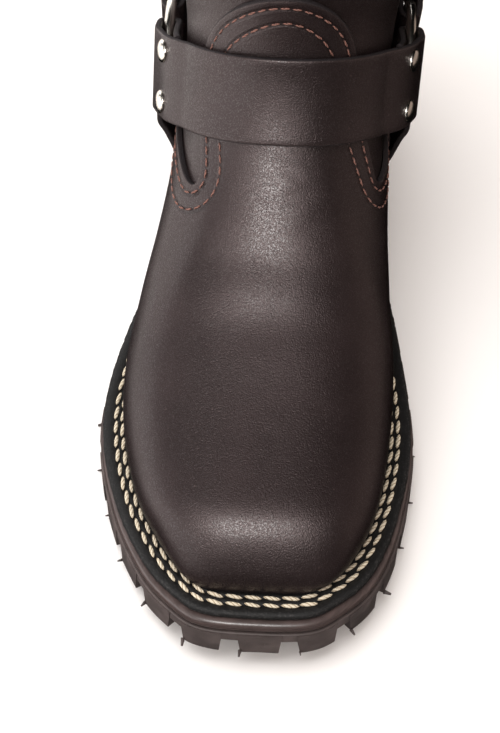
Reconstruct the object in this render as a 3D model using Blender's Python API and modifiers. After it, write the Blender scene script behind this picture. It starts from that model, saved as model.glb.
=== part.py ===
"""Harness boot for the right foot: hollow upper, vamp, strap harness and welted lug sole.

The toe points to -Y, the outer side of the foot to -X and the shaft to +Z.
Sizes are in millimetres and become metres when a mesh is made.
"""
import math

import bmesh
import bpy
import numpy as np
from mathutils import Vector
from mathutils.bvhtree import BVHTree

MM = 0.001
FAR = 200.0  # outside the boot
GAP = 0.3  # clearance between pieces that touch

# Leather
WALL = 2.2  # upper
VAMP = 2.0
STRAP = 2.4
CLEAR = 0.45  # straps above the skin of the boot

# Sole layers, from the foot down
INSOLE_RISE = 3.0  # insole above the welt's top
WELT = 3.0
WELT_INSIDE = 5.2  # how far the welt reaches in under the upper
MIDSOLE = 5.0
OUTSOLE = 5.0  # without its lugs
LUG = 8.4
HEEL_BREAST = 68.0
LUGS_END = -6.0  # the waist behind this is bare
LUG_PITCH = 20.5
LUG_GROOVE = 5.2
LUG_DEPTHS = (22.0, 16.0)  # long and short rim lugs by turns
HEEL_LUG_DEPTHS = (15.0, 13.0)
LUG_ROOM = 0.6  # share of the rim's own radius that a lug may take
LUG_TAPER = 0.8  # inner width of a rim lug against its outer width
LUG_PROUD = 0.7
ROOT = 1.0  # how far a lug runs up into its slab
MIDDLE_LUG_X = (10.0, 6.0)  # half-widths of a six-sided lug at its middle and its ends
MIDDLE_LUG_Y = 6.5
MIDDLE_LUG_ROWS = (-112.0, -93.0, -74.0, -55.0, -36.0, -17.0)
HEEL_LUG_ROWS = (77.0, 96.0, 115.0)
MIDDLE_LUG_SHIFT = 12.5  # of a pair from the middle line
MIDDLE_LUG_STAGGER = 2.5
PAIR_ROOM = 52.0  # room between the rim lugs for a pair, and for a single one
SINGLE_ROOM = 26.0
MIDSOLE_PROUD = 0.4  # each layer's edge outside the welt's
OUTSOLE_PROUD = 1.0
HEEL_PROUD = 0.5

# Harness
RING_Y = 60.0
RING_Z = 86.8
RING_R = 21.5  # to the middle of the wire
WIRE = 4.0
INSTEP_WIDTH = 31.0
HEEL_STRAP_WIDTH = 28.0
DOWN_WIDTH = 22.0
INSTEP_ANGLE = 146.5  # directions from the ring in the side view, degrees from +Y towards +Z
HEEL_STRAP_ANGLE = 10.0
DOWN_ANGLE = 260.0
INSTEP_TURN = 24.0  # reach where a strap starts to bend round the boot
HEEL_STRAP_TURN = 46.0
RETURN = 42.0  # reach of the under layer of a folded end
DOWN_RETURN = 33.0
FOLD_SLOPE = 9.0  # length where the upper layer comes down behind the under layer's end
FOLD_PAST = 2.0  # the upper layer stays level this far past that end, and the mouth past the ring
RIVET_REACH = 39.0
DOWN_RIVET_REACH = 30.0
RIVET_R = 4.3
RIVET_H = 1.6
RIVET_SPREAD = 9.4
RIVET_TOP = 0.72  # radius of its crown against its foot
RIVET_SEAT = 0.6  # clear of the leather's bend under it

# Edge of the vamp: a tongue on the shaft's front and a quarter line along the sides
TONGUE_X = -0.5
TONGUE_HALF = 28.0
TONGUE_SPRING = 123.2  # height where the arch starts
TONGUE_TOP = 162.2
TONGUE_LEAN = 0.06  # of the arch towards the medial side
TONGUE_FLARE = {-1: -0.03, 1: 0.265}  # growth of the half-width down from the arch, by side
QUARTER_Z = 88.7
QUARTER_RISE = -0.04
QUARTER_TILT = -0.136
QUARTER_START = -10.0
NOTCH_ROUND = 9.0
NOTCH = (33.0, -6.0, 95.0)  # a notch between tongue and quarter, drawn finer than the rest
NOTCH_ZONE = 20.0
TONGUE_BACK = 60.0  # no tongue behind this

# One row for each rib of the boot's outer skin. A rib runs from the lateral base over a ridge to
# the medial base: base and top in the side view, half-widths from the ridge, share of the height
# where it is widest, and how square its upper and lower quarters are (2 is an ellipse).
RIB_COLUMNS = (
    "base_y", "base_z", "top_y", "top_z", "base_lateral", "base_medial",
    "wide_lateral", "wide_medial", "wide_at", "square_top", "square_low", "ridge_x",
)
RIBS = {
    "toe_front": (-138.0, 28.9, -141.6, 29.5, 22.0, 17.5, 22.4, 17.9, 0.15, 3.0, 2.0, 1.5),
    "toe_face": (-133.0, 28.1, -141.2, 37.4, 28.1, 24.3, 29.0, 25.2, 0.20, 3.0, 2.0, 1.5),
    "toe_edge": (-126.0, 27.1, -134.0, 48.2, 33.8, 29.8, 35.1, 31.1, 0.25, 2.9, 2.0, 1.5),
    "toe_break": (-116.0, 25.7, -124.5, 55.0, 39.5, 34.3, 41.2, 35.9, 0.29, 2.8, 2.0, 1.5),
    "toe_box": (-101.0, 24.1, -108.0, 59.5, 46.2, 38.7, 48.0, 40.3, 0.32, 2.6, 2.0, 1.5),
    "ball": (-72.0, 21.9, -74.0, 70.0, 53.0, 42.6, 54.0, 43.7, 0.34, 2.4, 2.0, 1.5),
    "vamp": (-40.0, 21.8, -44.0, 85.0, 51.0, 40.0, 52.3, 43.3, 0.34, 2.25, 2.0, 1.5),
    "waist": (-6.0, 25.0, -19.0, 104.0, 42.5, 35.0, 46.3, 40.8, 0.36, 2.15, 2.0, 1.5),
    "instep": (30.0, 33.0, -1.0, 124.0, 37.0, 33.0, 41.8, 40.8, 0.42, 2.1, 1.7, 1.5),
    "heel_front": (70.0, 41.0, 8.5, 141.0, 34.0, 33.0, 42.5, 42.5, 0.47, 2.1, 1.4, 2.0),
    "heel_mid": (114.0, 44.8, 12.5, 156.0, 31.0, 31.0, 44.0, 44.5, 0.51, 2.1, 1.3, 2.5),
    "heel_back": (129.5, 45.8, 13.8, 168.0, 26.8, 26.8, 45.5, 45.8, 0.53, 2.1, 1.4, 2.8),
    "heel_end": (140.8, 46.4, 14.2, 177.0, 15.5, 15.5, 46.5, 46.7, 0.54, 2.1, 1.7, 3.0),
    "back_foot": (145.0, 46.9, 14.2, 184.0, 0.0, 0.0, 47.0, 47.0, 0.54, 2.1, 2.0, 3.1),
    "back_low": (147.3, 54.5, 14.0, 191.0, 0.0, 0.0, 47.2, 47.2, 0.54, 2.1, 2.0, 3.2),
    "back_swell": (148.0, 77.0, 13.6, 200.0, 0.0, 0.0, 47.3, 47.3, 0.54, 2.1, 2.05, 3.3),
    "back_heel": (145.0, 110.0, 12.8, 212.0, 0.0, 0.0, 47.7, 47.7, 0.53, 2.1, 2.1, 3.4),
    "ankle": (137.0, 157.0, 11.0, 230.0, 0.0, 0.0, 48.8, 48.8, 0.52, 2.1, 2.1, 3.6),
    "leg": (134.0, 213.0, 7.5, 254.0, 0.0, 0.0, 50.8, 50.8, 0.51, 2.1, 2.1, 3.8),
    "collar": (135.5, 282.0, 2.7, 282.0, 0.0, 0.0, 52.8, 52.8, 0.50, 2.1, 2.1, 4.0),
}
BACK = list(RIBS).index("back_foot")  # from here on a rib closes on the back seam
HEEL_END = list(RIBS).index("heel_end")
HEEL_MID = list(RIBS).index("heel_mid")  # the heel is round from here to the back
HEEL_BLEND = 0.8  # ribs over which the round heel comes in
COLLAR = len(RIBS) - 1
SHAFT = list(RIBS).index("back_heel")
DRAWN = np.concatenate([np.arange(0.0, SHAFT, 0.5), np.arange(SHAFT, COLLAR + 1)])  # ribs of the solids

# Level sections of the heel, from the foot line up: where a section is widest along the foot, its
# half-width there, and how square it is towards the back seam
HEEL_COLUMNS = ("centre_y", "half_width", "square")
HEEL_SECTIONS = (
    (114.0, 31.0, 2.0),
    (100.0, 37.0, 2.1),
    (86.0, 40.8, 2.25),
    (76.0, 43.6, 2.35),
    (77.0, 46.2, 2.25),
    (77.0, 47.0, 2.2),
)
HEEL_FOOT = 44.0  # height of the first section, and the step to the next
HEEL_STEP = 16.0
HEEL_FULL = 88.0  # the sections fade out from here to the top one
HEEL_TOP = 118.0

# Flat of the ankle on the lateral and the medial side, where a ring lies: its half-width from the
# ridge and how that changes with height; it fades out with distance and towards the foot line
ANKLE_FLAT = {-1: (39.2, 0.0), 1: (38.6, 0.04)}
ANKLE_Y = 60.0
ANKLE_Z = 90.0
ANKLE_REACH = 48.0
ANKLE_RISE = 22.0
ANKLE_SOFT = 1.2  # rounds the flat's edge

# Width of the welt's ledge by place along the foot
LEDGE_Y = (-141.0, -100.0, -20.0, 30.0, 70.0, 145.0)
LEDGE_WIDTH = (11.5, 9.6, 9.5, 5.5, 3.5, 3.0)

HALF = 10  # quads on each side of the ridge
RIB_POINTS = 60  # of a quarter before its points are spread evenly
FINE = 10  # ribs of the smooth skin for each row of the table
FINER = 4  # its points for each point of the solids
FEATHER_STEPS = 150
OUTLINE_POINTS = 80
SLAB_STATIONS = 32
SLAB_END = 0.25  # how far inside its ends a slab's first and last stations lie

MATERIALS = {  # colour, roughness, metallic
    "leather": ((0.030, 0.022, 0.021), 0.48, 0.0),
    "edge_leather": ((0.012, 0.011, 0.011), 0.60, 0.0),
    "midsole_leather": ((0.090, 0.070, 0.066), 0.45, 0.0),
    "board": ((0.330, 0.220, 0.130), 0.75, 0.0),
    "rubber": ((0.040, 0.032, 0.031), 0.62, 0.0),
    "nickel": ((0.780, 0.740, 0.690), 0.22, 1.0),
}


# The last

def spline(rows):
    """Natural cubic curve through rows at 0, 1, 2 and so on."""
    rows = np.asarray(rows, float)
    count = len(rows)
    system = np.eye(count)
    right = np.zeros_like(rows)
    for i in range(1, count - 1):
        system[i, i - 1:i + 2] = 1.0, 4.0, 1.0
        right[i] = 6.0 * (rows[i - 1] - 2.0 * rows[i] + rows[i + 1])
    bend = np.linalg.solve(system, right)

    def at(t):
        i = int(min(max(t, 0), count - 2))
        f = t - i
        g = 1.0 - f
        return (rows[i] * g + rows[i + 1] * f
                + (g ** 3 - g) * bend[i] / 6.0 + (f ** 3 - f) * bend[i + 1] / 6.0)

    return at


def ease(share):
    """Smooth step from 0 to 1."""
    share = np.clip(share, 0.0, 1.0)
    return share * share * (3.0 - 2.0 * share)


RIB_AT = spline(list(RIBS.values()))
HEEL_AT = spline(HEEL_SECTIONS)
BACK_SEAM = np.array([RIB_AT(t)[:2] for t in np.linspace(BACK, COLLAR, 200)])


def heel_half(y, z):
    """Half-width of the round heel behind its widest place."""
    found = []
    for along, height in zip(np.atleast_1d(y), np.atleast_1d(z)):
        step = np.clip((height - HEEL_FOOT) / HEEL_STEP, 0.0, len(HEEL_SECTIONS) - 1)
        sizes = dict(zip(HEEL_COLUMNS, HEEL_AT(step)))
        end = np.interp(height, BACK_SEAM[:, 1], BACK_SEAM[:, 0])
        share = np.clip((along - sizes["centre_y"]) / (end - sizes["centre_y"]), 0.0, 1.0)
        found.append(sizes["half_width"] * (1.0 - share ** sizes["square"]) ** (1.0 / sizes["square"]))
    return np.array(found)


def rib(t):
    """Sizes of the rib at t, by column name."""
    sizes = dict(zip(RIB_COLUMNS, RIB_AT(t)))
    if HEEL_MID < t < BACK:
        turn = math.pi / 2.0 * (t - HEEL_MID) / (BACK - HEEL_MID)
        start, end = RIBS["heel_mid"][0], RIBS["back_foot"][0]
        sizes["base_y"] = start + (end - start) * math.sin(turn)
        if t > HEEL_END:  # level round the heel, although the back seam climbs from here
            sizes["base_z"] = np.interp(t, (HEEL_END, BACK), (RIBS["heel_end"][1], RIBS["back_foot"][1]))
        round_half = heel_half(sizes["base_y"], sizes["base_z"])[0]
        sizes["base_lateral"] = sizes["base_medial"] = round_half
    elif t >= BACK:
        sizes["base_lateral"] = sizes["base_medial"] = 0.0
    return sizes


def even(points, pieces):
    """Points at even distances along a polyline."""
    points = np.asarray(points, float)
    length = np.concatenate([[0.0], np.cumsum(np.linalg.norm(np.diff(points, axis=0), axis=1))])
    wanted = np.linspace(0.0, length[-1], pieces + 1)
    return np.stack([np.interp(wanted, length, column) for column in points.T], 1)


def flattened(out, y, z, side):
    """Half-widths drawn in to the flat of the ankle."""
    half, lean = ANKLE_FLAT[side]
    away = ((y - ANKLE_Y) ** 2 + (z - ANKLE_Z) ** 2) / ANKLE_REACH ** 2
    share = np.exp(-away ** 2) * ease((z - HEEL_FOOT) / ANKLE_RISE)
    excess = out - half - lean * (z - ANKLE_Z)
    return out - share * (excess + np.sqrt(excess ** 2 + ANKLE_SOFT ** 2)) / 2.0


def half_rib(t, side, pieces):
    """Points of the rib at t from its base to the ridge on one side, -1 lateral or 1 medial."""
    sizes = rib(t)
    word = "lateral" if side < 0 else "medial"
    base = sizes["base_" + word]
    wide = sizes["wide_" + word]
    split = sizes["wide_at"]
    angle = np.linspace(0.0, math.pi / 2, RIB_POINTS)
    sine = np.sin(angle)
    cosine = np.abs(np.cos(angle))
    low = 2.0 / sizes["square_low"]
    top = 2.0 / sizes["square_top"]
    out = np.concatenate([base + (wide - base) * sine ** low, wide * cosine[1:] ** top])
    up = np.concatenate([split * (1.0 - cosine ** low), split + (1.0 - split) * sine[1:] ** top])
    y = sizes["base_y"] + (sizes["top_y"] - sizes["base_y"]) * up
    z = sizes["base_z"] + (sizes["top_z"] - sizes["base_z"]) * up
    if t > HEEL_MID:
        share = ease((t - HEEL_MID) / HEEL_BLEND) * ease((HEEL_TOP - z) / (HEEL_TOP - HEEL_FULL))
        out = out + share * (heel_half(y, z) - out)
    out = flattened(out, y, z, side)
    return even(np.stack([sizes["ridge_x"] + side * out, y, z], 1), pieces)


def skin_grid(ribs, pieces):
    """Outer skin of the boot as rows of points, one row for each rib."""
    grid = []
    for t in ribs:
        medial = half_rib(t, 1, pieces)[::-1]
        grid.append(np.concatenate([half_rib(t, -1, pieces), medial[1:]]))
    return np.array(grid)


def outward(grid):
    """Unit normals of a grid of points: level along the foot line, one for both ends of a closed row."""
    normal = np.cross(np.gradient(grid, axis=1), np.gradient(grid, axis=0))
    closed = np.isclose(grid[:, 0], grid[:, -1]).all(axis=1)
    seam = normal[closed, 0] + normal[closed, -1]
    normal[closed, 0] = seam
    normal[closed, -1] = seam
    foot = np.flatnonzero(~closed).max() + 2
    normal[:foot, 0, 2] = 0.0
    normal[:foot, -1, 2] = 0.0
    return normal / np.linalg.norm(normal, axis=2, keepdims=True)


SKIN = skin_grid(np.linspace(0.0, COLLAR, COLLAR * FINE + 1), HALF * FINER)
OUT = outward(SKIN)


def lifted_skin(lift):
    """Grid of the skin for a solid, moved outwards by lift."""
    rows = np.rint(DRAWN * FINE).astype(int)
    return (SKIN + OUT * lift)[rows][:, ::FINER]


# Meshes and objects

def grid_faces(rows, columns):
    """Four-sided faces of a grid of points."""
    starts = [i * columns + j for i in range(rows - 1) for j in range(columns - 1)]
    return [(a, a + 1, a + columns + 1, a + columns) for a in starts]


def sheet(grid, inner=None):
    """Open sheet through a grid of points, with its back seam welded; its points may know inner ones."""
    rows, columns = grid.shape[:2]
    bm = bmesh.new()
    inside = bm.verts.layers.float_vector.new("inside")
    verts = [bm.verts.new(point * MM) for point in grid.reshape(-1, 3)]
    if inner is not None:
        for vert, point in zip(verts, inner.reshape(-1, 3)):
            vert[inside] = Vector(point) * MM
    for face in grid_faces(rows, columns):
        bm.faces.new([verts[k] for k in face])
    bmesh.ops.remove_doubles(bm, verts=bm.verts, dist=0.00001)
    bmesh.ops.triangulate(bm, faces=bm.faces, quad_method="SHORT_EDGE")
    return bm


def lined(bm):
    """Close a sheet into a wall with its inner points."""
    inside = bm.verts.layers.float_vector["inside"]
    faces = list(bm.faces)
    rims = [edge.link_loops[0] for edge in bm.edges if edge.is_boundary]
    rims = [(loop.vert, loop.link_loop_next.vert) for loop in rims]
    twin = {vert: bm.verts.new(vert[inside]) for vert in list(bm.verts)}
    for face in faces:
        bm.faces.new([twin[vert] for vert in reversed(face.verts)])
    for a, b in rims:
        bm.faces.new((b, a, twin[a], twin[b]))
    return bm


def collection(name):
    """Collection of the scene with this name."""
    if name not in bpy.data.collections:
        bpy.context.scene.collection.children.link(bpy.data.collections.new(name))
    return bpy.data.collections[name]


def material(name):
    """Principled material with the colour, roughness and metallic value of its row."""
    if name in bpy.data.materials:
        return bpy.data.materials[name]
    made = bpy.data.materials.new(name)
    made.use_nodes = True
    colour, roughness, metallic = MATERIALS[name]
    shader = made.node_tree.nodes["Principled BSDF"]
    shader.inputs["Base Color"].default_value = (*colour, 1.0)
    shader.inputs["Roughness"].default_value = roughness
    shader.inputs["Metallic"].default_value = metallic
    return made


def add(name, mesh, finish, group="harness_boot"):
    """Object of a mesh in the boot's collection."""
    if isinstance(mesh, bmesh.types.BMesh):
        bm = mesh
        mesh = bpy.data.meshes.new(name)
        bm.to_mesh(mesh)
        bm.free()
    if not mesh.materials:
        mesh.materials.append(material(finish))
    piece = bpy.data.objects.new(name, mesh)
    collection(group).objects.link(piece)
    return piece


def solidify(piece, thickness):
    """Give an open sheet its thickness, half on each side."""
    wall = piece.modifiers.new("thickness", "SOLIDIFY")
    wall.thickness = thickness * MM
    wall.offset = 0.0
    return piece


# Upper and vamp

def build_upper():
    """Hollow wall of foot and shaft, under the thickness of the vamp."""
    return add("upper", lined(sheet(lifted_skin(-VAMP - GAP), lifted_skin(-VAMP - GAP - WALL))), "leather")


def tongue_half(z):
    """Half the width of the vamp's tongue at a height."""
    rise = np.clip((z - TONGUE_SPRING) / (TONGUE_TOP - TONGUE_SPRING), 0.0, None)
    if rise > 1.0:
        return -(z - TONGUE_TOP)
    return TONGUE_HALF * math.sqrt(1.0 - rise ** 2)


def inside_vamp(point):
    """Positive where the vamp covers a point, zero on its edge."""
    x, y, z = point / MM
    quarter = QUARTER_Z + QUARTER_RISE * (y - QUARTER_START) + QUARTER_TILT * x - z
    if y > TONGUE_BACK:
        return quarter
    rise = z - TONGUE_SPRING
    beside_middle = x - TONGUE_X - TONGUE_LEAN * max(rise, 0.0)
    flare = TONGUE_FLARE[1 if beside_middle > 0.0 else -1] * max(-rise, 0.0)
    tongue = tongue_half(z) + flare - abs(beside_middle)
    overlap = max(NOTCH_ROUND - abs(tongue - quarter), 0.0)
    return max(tongue, quarter) + overlap ** 2 / (4.0 * NOTCH_ROUND)


def in_notch(point):
    """Whether a point is by one of the notches beside the tongue."""
    return (Vector((abs(point.x), point.y, point.z)) / MM - Vector(NOTCH)).length < NOTCH_ZONE


def crossing(a, b, inside):
    """Share of the way from a to b where inside(point) changes sign."""
    low, high = 0.0, 1.0
    for _ in range(12):
        middle = (low + high) / 2.0
        if inside(a) * inside(a.lerp(b, middle)) > 0.0:
            low = middle
        else:
            high = middle
    return middle


def cut_sheet(bm, inside):
    """Cut an open sheet along inside(point) = 0 and drop what lies below."""
    near = [edge for edge in bm.edges if max(abs(inside(vert.co)) for vert in edge.verts) < NOTCH_ROUND]
    bmesh.ops.subdivide_edges(bm, edges=[edge for edge in near if in_notch(edge.verts[0].co)], cuts=1)
    bmesh.ops.triangulate(bm, faces=bm.faces)
    cut = []
    for edge in list(bm.edges):
        a, b = edge.verts
        if inside(a.co) * inside(b.co) < 0.0:
            cut.append(bmesh.utils.edge_split(edge, a, crossing(a.co, b.co, inside))[1])
    bmesh.ops.connect_verts(bm, verts=cut)
    outside = [face for face in bm.faces if inside(face.calc_center_median()) < 0.0]
    bmesh.ops.delete(bm, geom=outside, context="FACES")
    return bm


def build_vamp():
    """Outer vamp between the upper and the skin, cut along its edge."""
    return add("vamp", lined(cut_sheet(sheet(lifted_skin(0.0), lifted_skin(-VAMP)), inside_vamp)), "leather")


# Sole

FEATHER = [rib(t) for t in np.linspace(0.0, BACK, FEATHER_STEPS)]
TOE_SLOPE = (RIBS["toe_front"][3] - RIBS["toe_front"][1]) / (RIBS["toe_front"][2] - RIBS["toe_front"][0])


def foot_line(y):
    """Height of the line where the upper meets the welt."""
    y = np.asarray(y, float)
    along = [sizes["base_y"] for sizes in FEATHER]
    height = np.interp(y, along, [sizes["base_z"] for sizes in FEATHER])
    return height + TOE_SLOPE * np.minimum(y - along[0], 0.0)


WELT_TOP = -GAP  # levels of the sole's layers against the foot line
MIDSOLE_TOP = WELT_TOP - WELT - GAP
OUTSOLE_TOP = MIDSOLE_TOP - MIDSOLE - GAP
OUTSOLE_BOTTOM = OUTSOLE_TOP - OUTSOLE


def feather_outline():
    """Foot outline from above: heel, lateral side, toe, medial side, back to the heel."""
    lateral = [(s["ridge_x"] - s["base_lateral"], s["base_y"]) for s in reversed(FEATHER)]
    medial = [(s["ridge_x"] + s["base_medial"], s["base_y"]) for s in FEATHER]
    toe = skin_grid([0.0], HALF)[0, 1:-1, :2]
    return even(np.concatenate([lateral, toe, medial]), OUTLINE_POINTS)[:-1]


def sole_outline(share, extra):
    """Foot outline grown by a share of the ledge and by an extra width."""
    line = feather_outline()
    run = np.roll(line, -1, axis=0) - np.roll(line, 1, axis=0)
    out = np.stack([run[:, 1], -run[:, 0]], 1) / np.linalg.norm(run, axis=1, keepdims=True)
    width = share * np.interp(line[:, 1], LEDGE_Y, LEDGE_WIDTH) + extra
    return line + out * width[:, None]


def widths_at(line, y):
    """Lateral and medial x of an outline at places along the foot."""
    back = int(np.argmax(line[:, 1]))
    line = np.roll(line, -back, axis=0)
    toe = int(np.argmin(line[:, 1]))
    lateral = line[:toe + 1][::-1]
    medial = np.concatenate([line[toe:], line[:1]])
    return np.interp(y, lateral[:, 1], lateral[:, 0]), np.interp(y, medial[:, 1], medial[:, 0])


def slab(line, top, bottom, start=None):
    """Closed slab under an outline, its faces at heights given along the foot."""
    low = line[:, 1].min() + SLAB_END if start is None else start
    high = line[:, 1].max() - SLAB_END
    turn = np.linspace(0.0 if start is None else math.pi / 2, math.pi, SLAB_STATIONS)
    share = (1.0 - np.cos(turn)) / 2.0
    share = (share - share[0]) / (share[-1] - share[0])
    y = low + (high - low) * share
    left, right = widths_at(line, y)
    corners = [(left, top(y)), (right, top(y)), (right, bottom(y)), (left, bottom(y))]
    bm = bmesh.new()
    rows = []
    for k in range(len(y)):
        rows.append([bm.verts.new(Vector((x[k], y[k], z[k])) * MM) for x, z in corners])
    for near, far in zip(rows, rows[1:]):
        for a in range(4):
            b = (a + 1) % 4
            bm.faces.new((near[a], near[b], far[b], far[a]))
    bm.faces.new(rows[0][::-1])
    bm.faces.new(rows[-1])
    bmesh.ops.recalc_face_normals(bm, faces=bm.faces)
    return bm


def build_welt():
    """Ring of leather under the upper's edge, wide as the ledge outside and a little inside."""
    outer = sole_outline(1.0, 0.0)
    inner = sole_outline(0.0, -WELT_INSIDE)
    bm = bmesh.new()
    rows = []
    for out, into in zip(outer, inner):
        high, low = (foot_line([out[1], into[1]]) + level for level in (WELT_TOP, WELT_TOP - WELT))
        corners = ((*out, high[0]), (*into, high[1]), (*into, low[1]), (*out, low[0]))
        rows.append([bm.verts.new(Vector(corner) * MM) for corner in corners])
    for near, far in zip(rows, rows[1:] + rows[:1]):
        for a in range(4):
            b = (a + 1) % 4
            bm.faces.new((near[a], near[b], far[b], far[a]))
    bmesh.ops.recalc_face_normals(bm, faces=bm.faces)
    return add("welt", bm, "edge_leather")


def build_insole():
    """Board inside the welt's ring, standing a little above it."""
    line = sole_outline(0.0, -WELT_INSIDE - GAP)
    top = slab(line, lambda y: foot_line(y) + INSOLE_RISE, lambda y: foot_line(y) + MIDSOLE_TOP + GAP)
    return add("insole", top, "board")


def build_midsole():
    """Full-length layer under the welt."""
    line = sole_outline(1.0, MIDSOLE_PROUD)
    bm = slab(line, lambda y: foot_line(y) + MIDSOLE_TOP, lambda y: foot_line(y) + MIDSOLE_TOP - MIDSOLE)
    return add("midsole", bm, "midsole_leather")


def tread(y):
    """Height of the lugs' faces, flat on the floor under the ball."""
    return np.maximum(foot_line(y) + OUTSOLE_BOTTOM - LUG, 0.0)


def prism(bm, outline, roof, floor):
    """Add a closed prism with a plan outline between two heights along the foot."""
    outline = np.asarray(outline, float)
    rows = []
    for height in (roof, floor):
        z = height(outline[:, 1])
        rows.append([bm.verts.new(Vector((*p, h)) * MM) for p, h in zip(outline, z)])
    for a in range(len(outline)):
        b = (a + 1) % len(outline)
        bm.faces.new((rows[0][a], rows[0][b], rows[1][b], rows[1][a]))
    bm.faces.new(rows[0][::-1])
    bm.faces.new(rows[1])


def rim_lugs(bm, line, depths, keep, roof, floor):
    """Lugs along the rim of an outline, wherever keep(point) is true."""
    closed = np.concatenate([line, line[:1]])
    length = np.concatenate([[0.0], np.cumsum(np.linalg.norm(np.diff(closed, axis=0), axis=1))])
    count = int(length[-1] // LUG_PITCH)
    pitch = length[-1] / count
    half = (pitch - LUG_GROOVE) / 2.0
    toe = length[int(np.argmin(line[:, 1]))]

    def at(s):
        s = np.mod(s, length[-1])
        return np.stack([np.interp(s, length, column) for column in closed.T], -1)

    for k in range(count):
        s = toe + k * pitch
        middle = at(s)
        if not keep(middle):
            continue
        run = at(s + half) - at(s - half)
        into = np.array([-run[1], run[0]]) / np.linalg.norm(run)
        bend = np.linalg.norm(at(s + pitch) + at(s - pitch) - 2.0 * middle) / pitch ** 2
        reach = min(depths[k % 2], LUG_ROOM / max(bend, 0.001))
        narrow = LUG_TAPER / 2.0 * (1.0 - bend * reach)
        outer = at(s + half * np.array([-1.0, 0.0, 1.0])) - into * LUG_PROUD
        inner = middle + into * reach + np.outer([narrow, -narrow], run)
        prism(bm, np.concatenate([outer, inner]), roof, floor)


def middle_lugs(bm, line, depths, rows, roof, floor):
    """Pairs of six-sided lugs down the middle of the tread."""
    wide, narrow = MIDDLE_LUG_X
    corners = ((-wide, 0), (-narrow, -1), (narrow, -1), (wide, 0), (narrow, 1), (-narrow, 1))
    shape = np.array([(x, end * MIDDLE_LUG_Y) for x, end in corners])
    for k, y in enumerate(rows):
        left, right = (float(x) for x in widths_at(line, y))
        room = right - left - 2.0 * max(depths)
        sides = (-1, 1) if room > PAIR_ROOM else (0,) if room > SINGLE_ROOM else ()
        for side in sides:
            place = ((left + right) / 2.0 + side * MIDDLE_LUG_SHIFT, y + (k % 2) * side * MIDDLE_LUG_STAGGER)
            prism(bm, shape + place, roof, floor)


def join_lugs(piece, bm):
    """Unite a slab with its lugs."""
    bmesh.ops.recalc_face_normals(bm, faces=bm.faces)
    lugs = add(piece.name + "_lugs", bm, "rubber", "harness_boot_cutters")
    lugs.hide_render = True
    lugs.display_type = "WIRE"
    union = piece.modifiers.new("lugs", "BOOLEAN")
    union.operation = "UNION"
    union.solver = "EXACT"
    union.object = lugs
    return piece, lugs


def build_outsole():
    """Full-length rubber slab with lugs under the forefoot."""
    line = sole_outline(1.0, OUTSOLE_PROUD)

    def under(y):
        return foot_line(y) + OUTSOLE_BOTTOM

    piece = add("outsole", slab(line, lambda y: foot_line(y) + OUTSOLE_TOP, under), "rubber")
    lugs = bmesh.new()
    rim_lugs(lugs, line, LUG_DEPTHS, lambda p: p[1] < LUGS_END, lambda y: under(y) + ROOT, tread)
    middle_lugs(lugs, line, LUG_DEPTHS, MIDDLE_LUG_ROWS, lambda y: under(y) + ROOT, tread)
    return join_lugs(piece, lugs)


def build_heel():
    """Rubber heel block with lugs of its own."""
    line = sole_outline(1.0, HEEL_PROUD)
    block = slab(line, lambda y: foot_line(y) + OUTSOLE_BOTTOM - GAP, lambda y: 0.0 * y + LUG, HEEL_BREAST)
    piece = add("heel", block, "rubber")
    lugs = bmesh.new()
    rim_lugs(lugs, line, HEEL_LUG_DEPTHS, lambda p: p[1] > HEEL_BREAST + LUG_PITCH / 2.0,
             lambda y: 0.0 * y + LUG + ROOT, lambda y: 0.0 * y)
    middle_lugs(lugs, line, HEEL_LUG_DEPTHS, HEEL_LUG_ROWS,
                lambda y: 0.0 * y + LUG + ROOT, lambda y: 0.0 * y)
    return join_lugs(piece, lugs)


# Harness

SKIN_TREE = BVHTree.FromPolygons(
    [Vector(point) for point in SKIN.reshape(-1, 3)], grid_faces(*SKIN.shape[:2]))
RING_FACE = WIRE / 2.0 + CLEAR + STRAP / 2.0  # a strap's middle above or under the ring's plane
LOW = CLEAR + STRAP / 2.0  # middle of a single layer on the skin
HIGH = LOW + STRAP + GAP  # middle of a layer on top of another
RING_LIFT = LOW + RING_FACE + CLEAR


def skin_point(start, way):
    """Where a line meets the skin."""
    found = SKIN_TREE.ray_cast(Vector(start), Vector(way))[0]
    if found is None:
        raise RuntimeError(f"no skin from {tuple(start)} towards {tuple(way)}")
    return np.array(found)


def beside(side, y, z):
    """Point of the skin seen straight from one side."""
    return skin_point((FAR * side, y, z), (-side, 0.0, 0.0))


def ring_place(side):
    """Centre of a ring and the outward normal of its plane."""
    span = RING_R / 2.0
    along = beside(side, RING_Y + span, RING_Z) - beside(side, RING_Y - span, RING_Z)
    up = beside(side, RING_Y, RING_Z + span) - beside(side, RING_Y, RING_Z - span)
    normal = np.cross(along, up)
    normal *= np.sign(normal[0]) * side / np.linalg.norm(normal)
    return beside(side, RING_Y, RING_Z) + normal * RING_LIFT, normal


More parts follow.
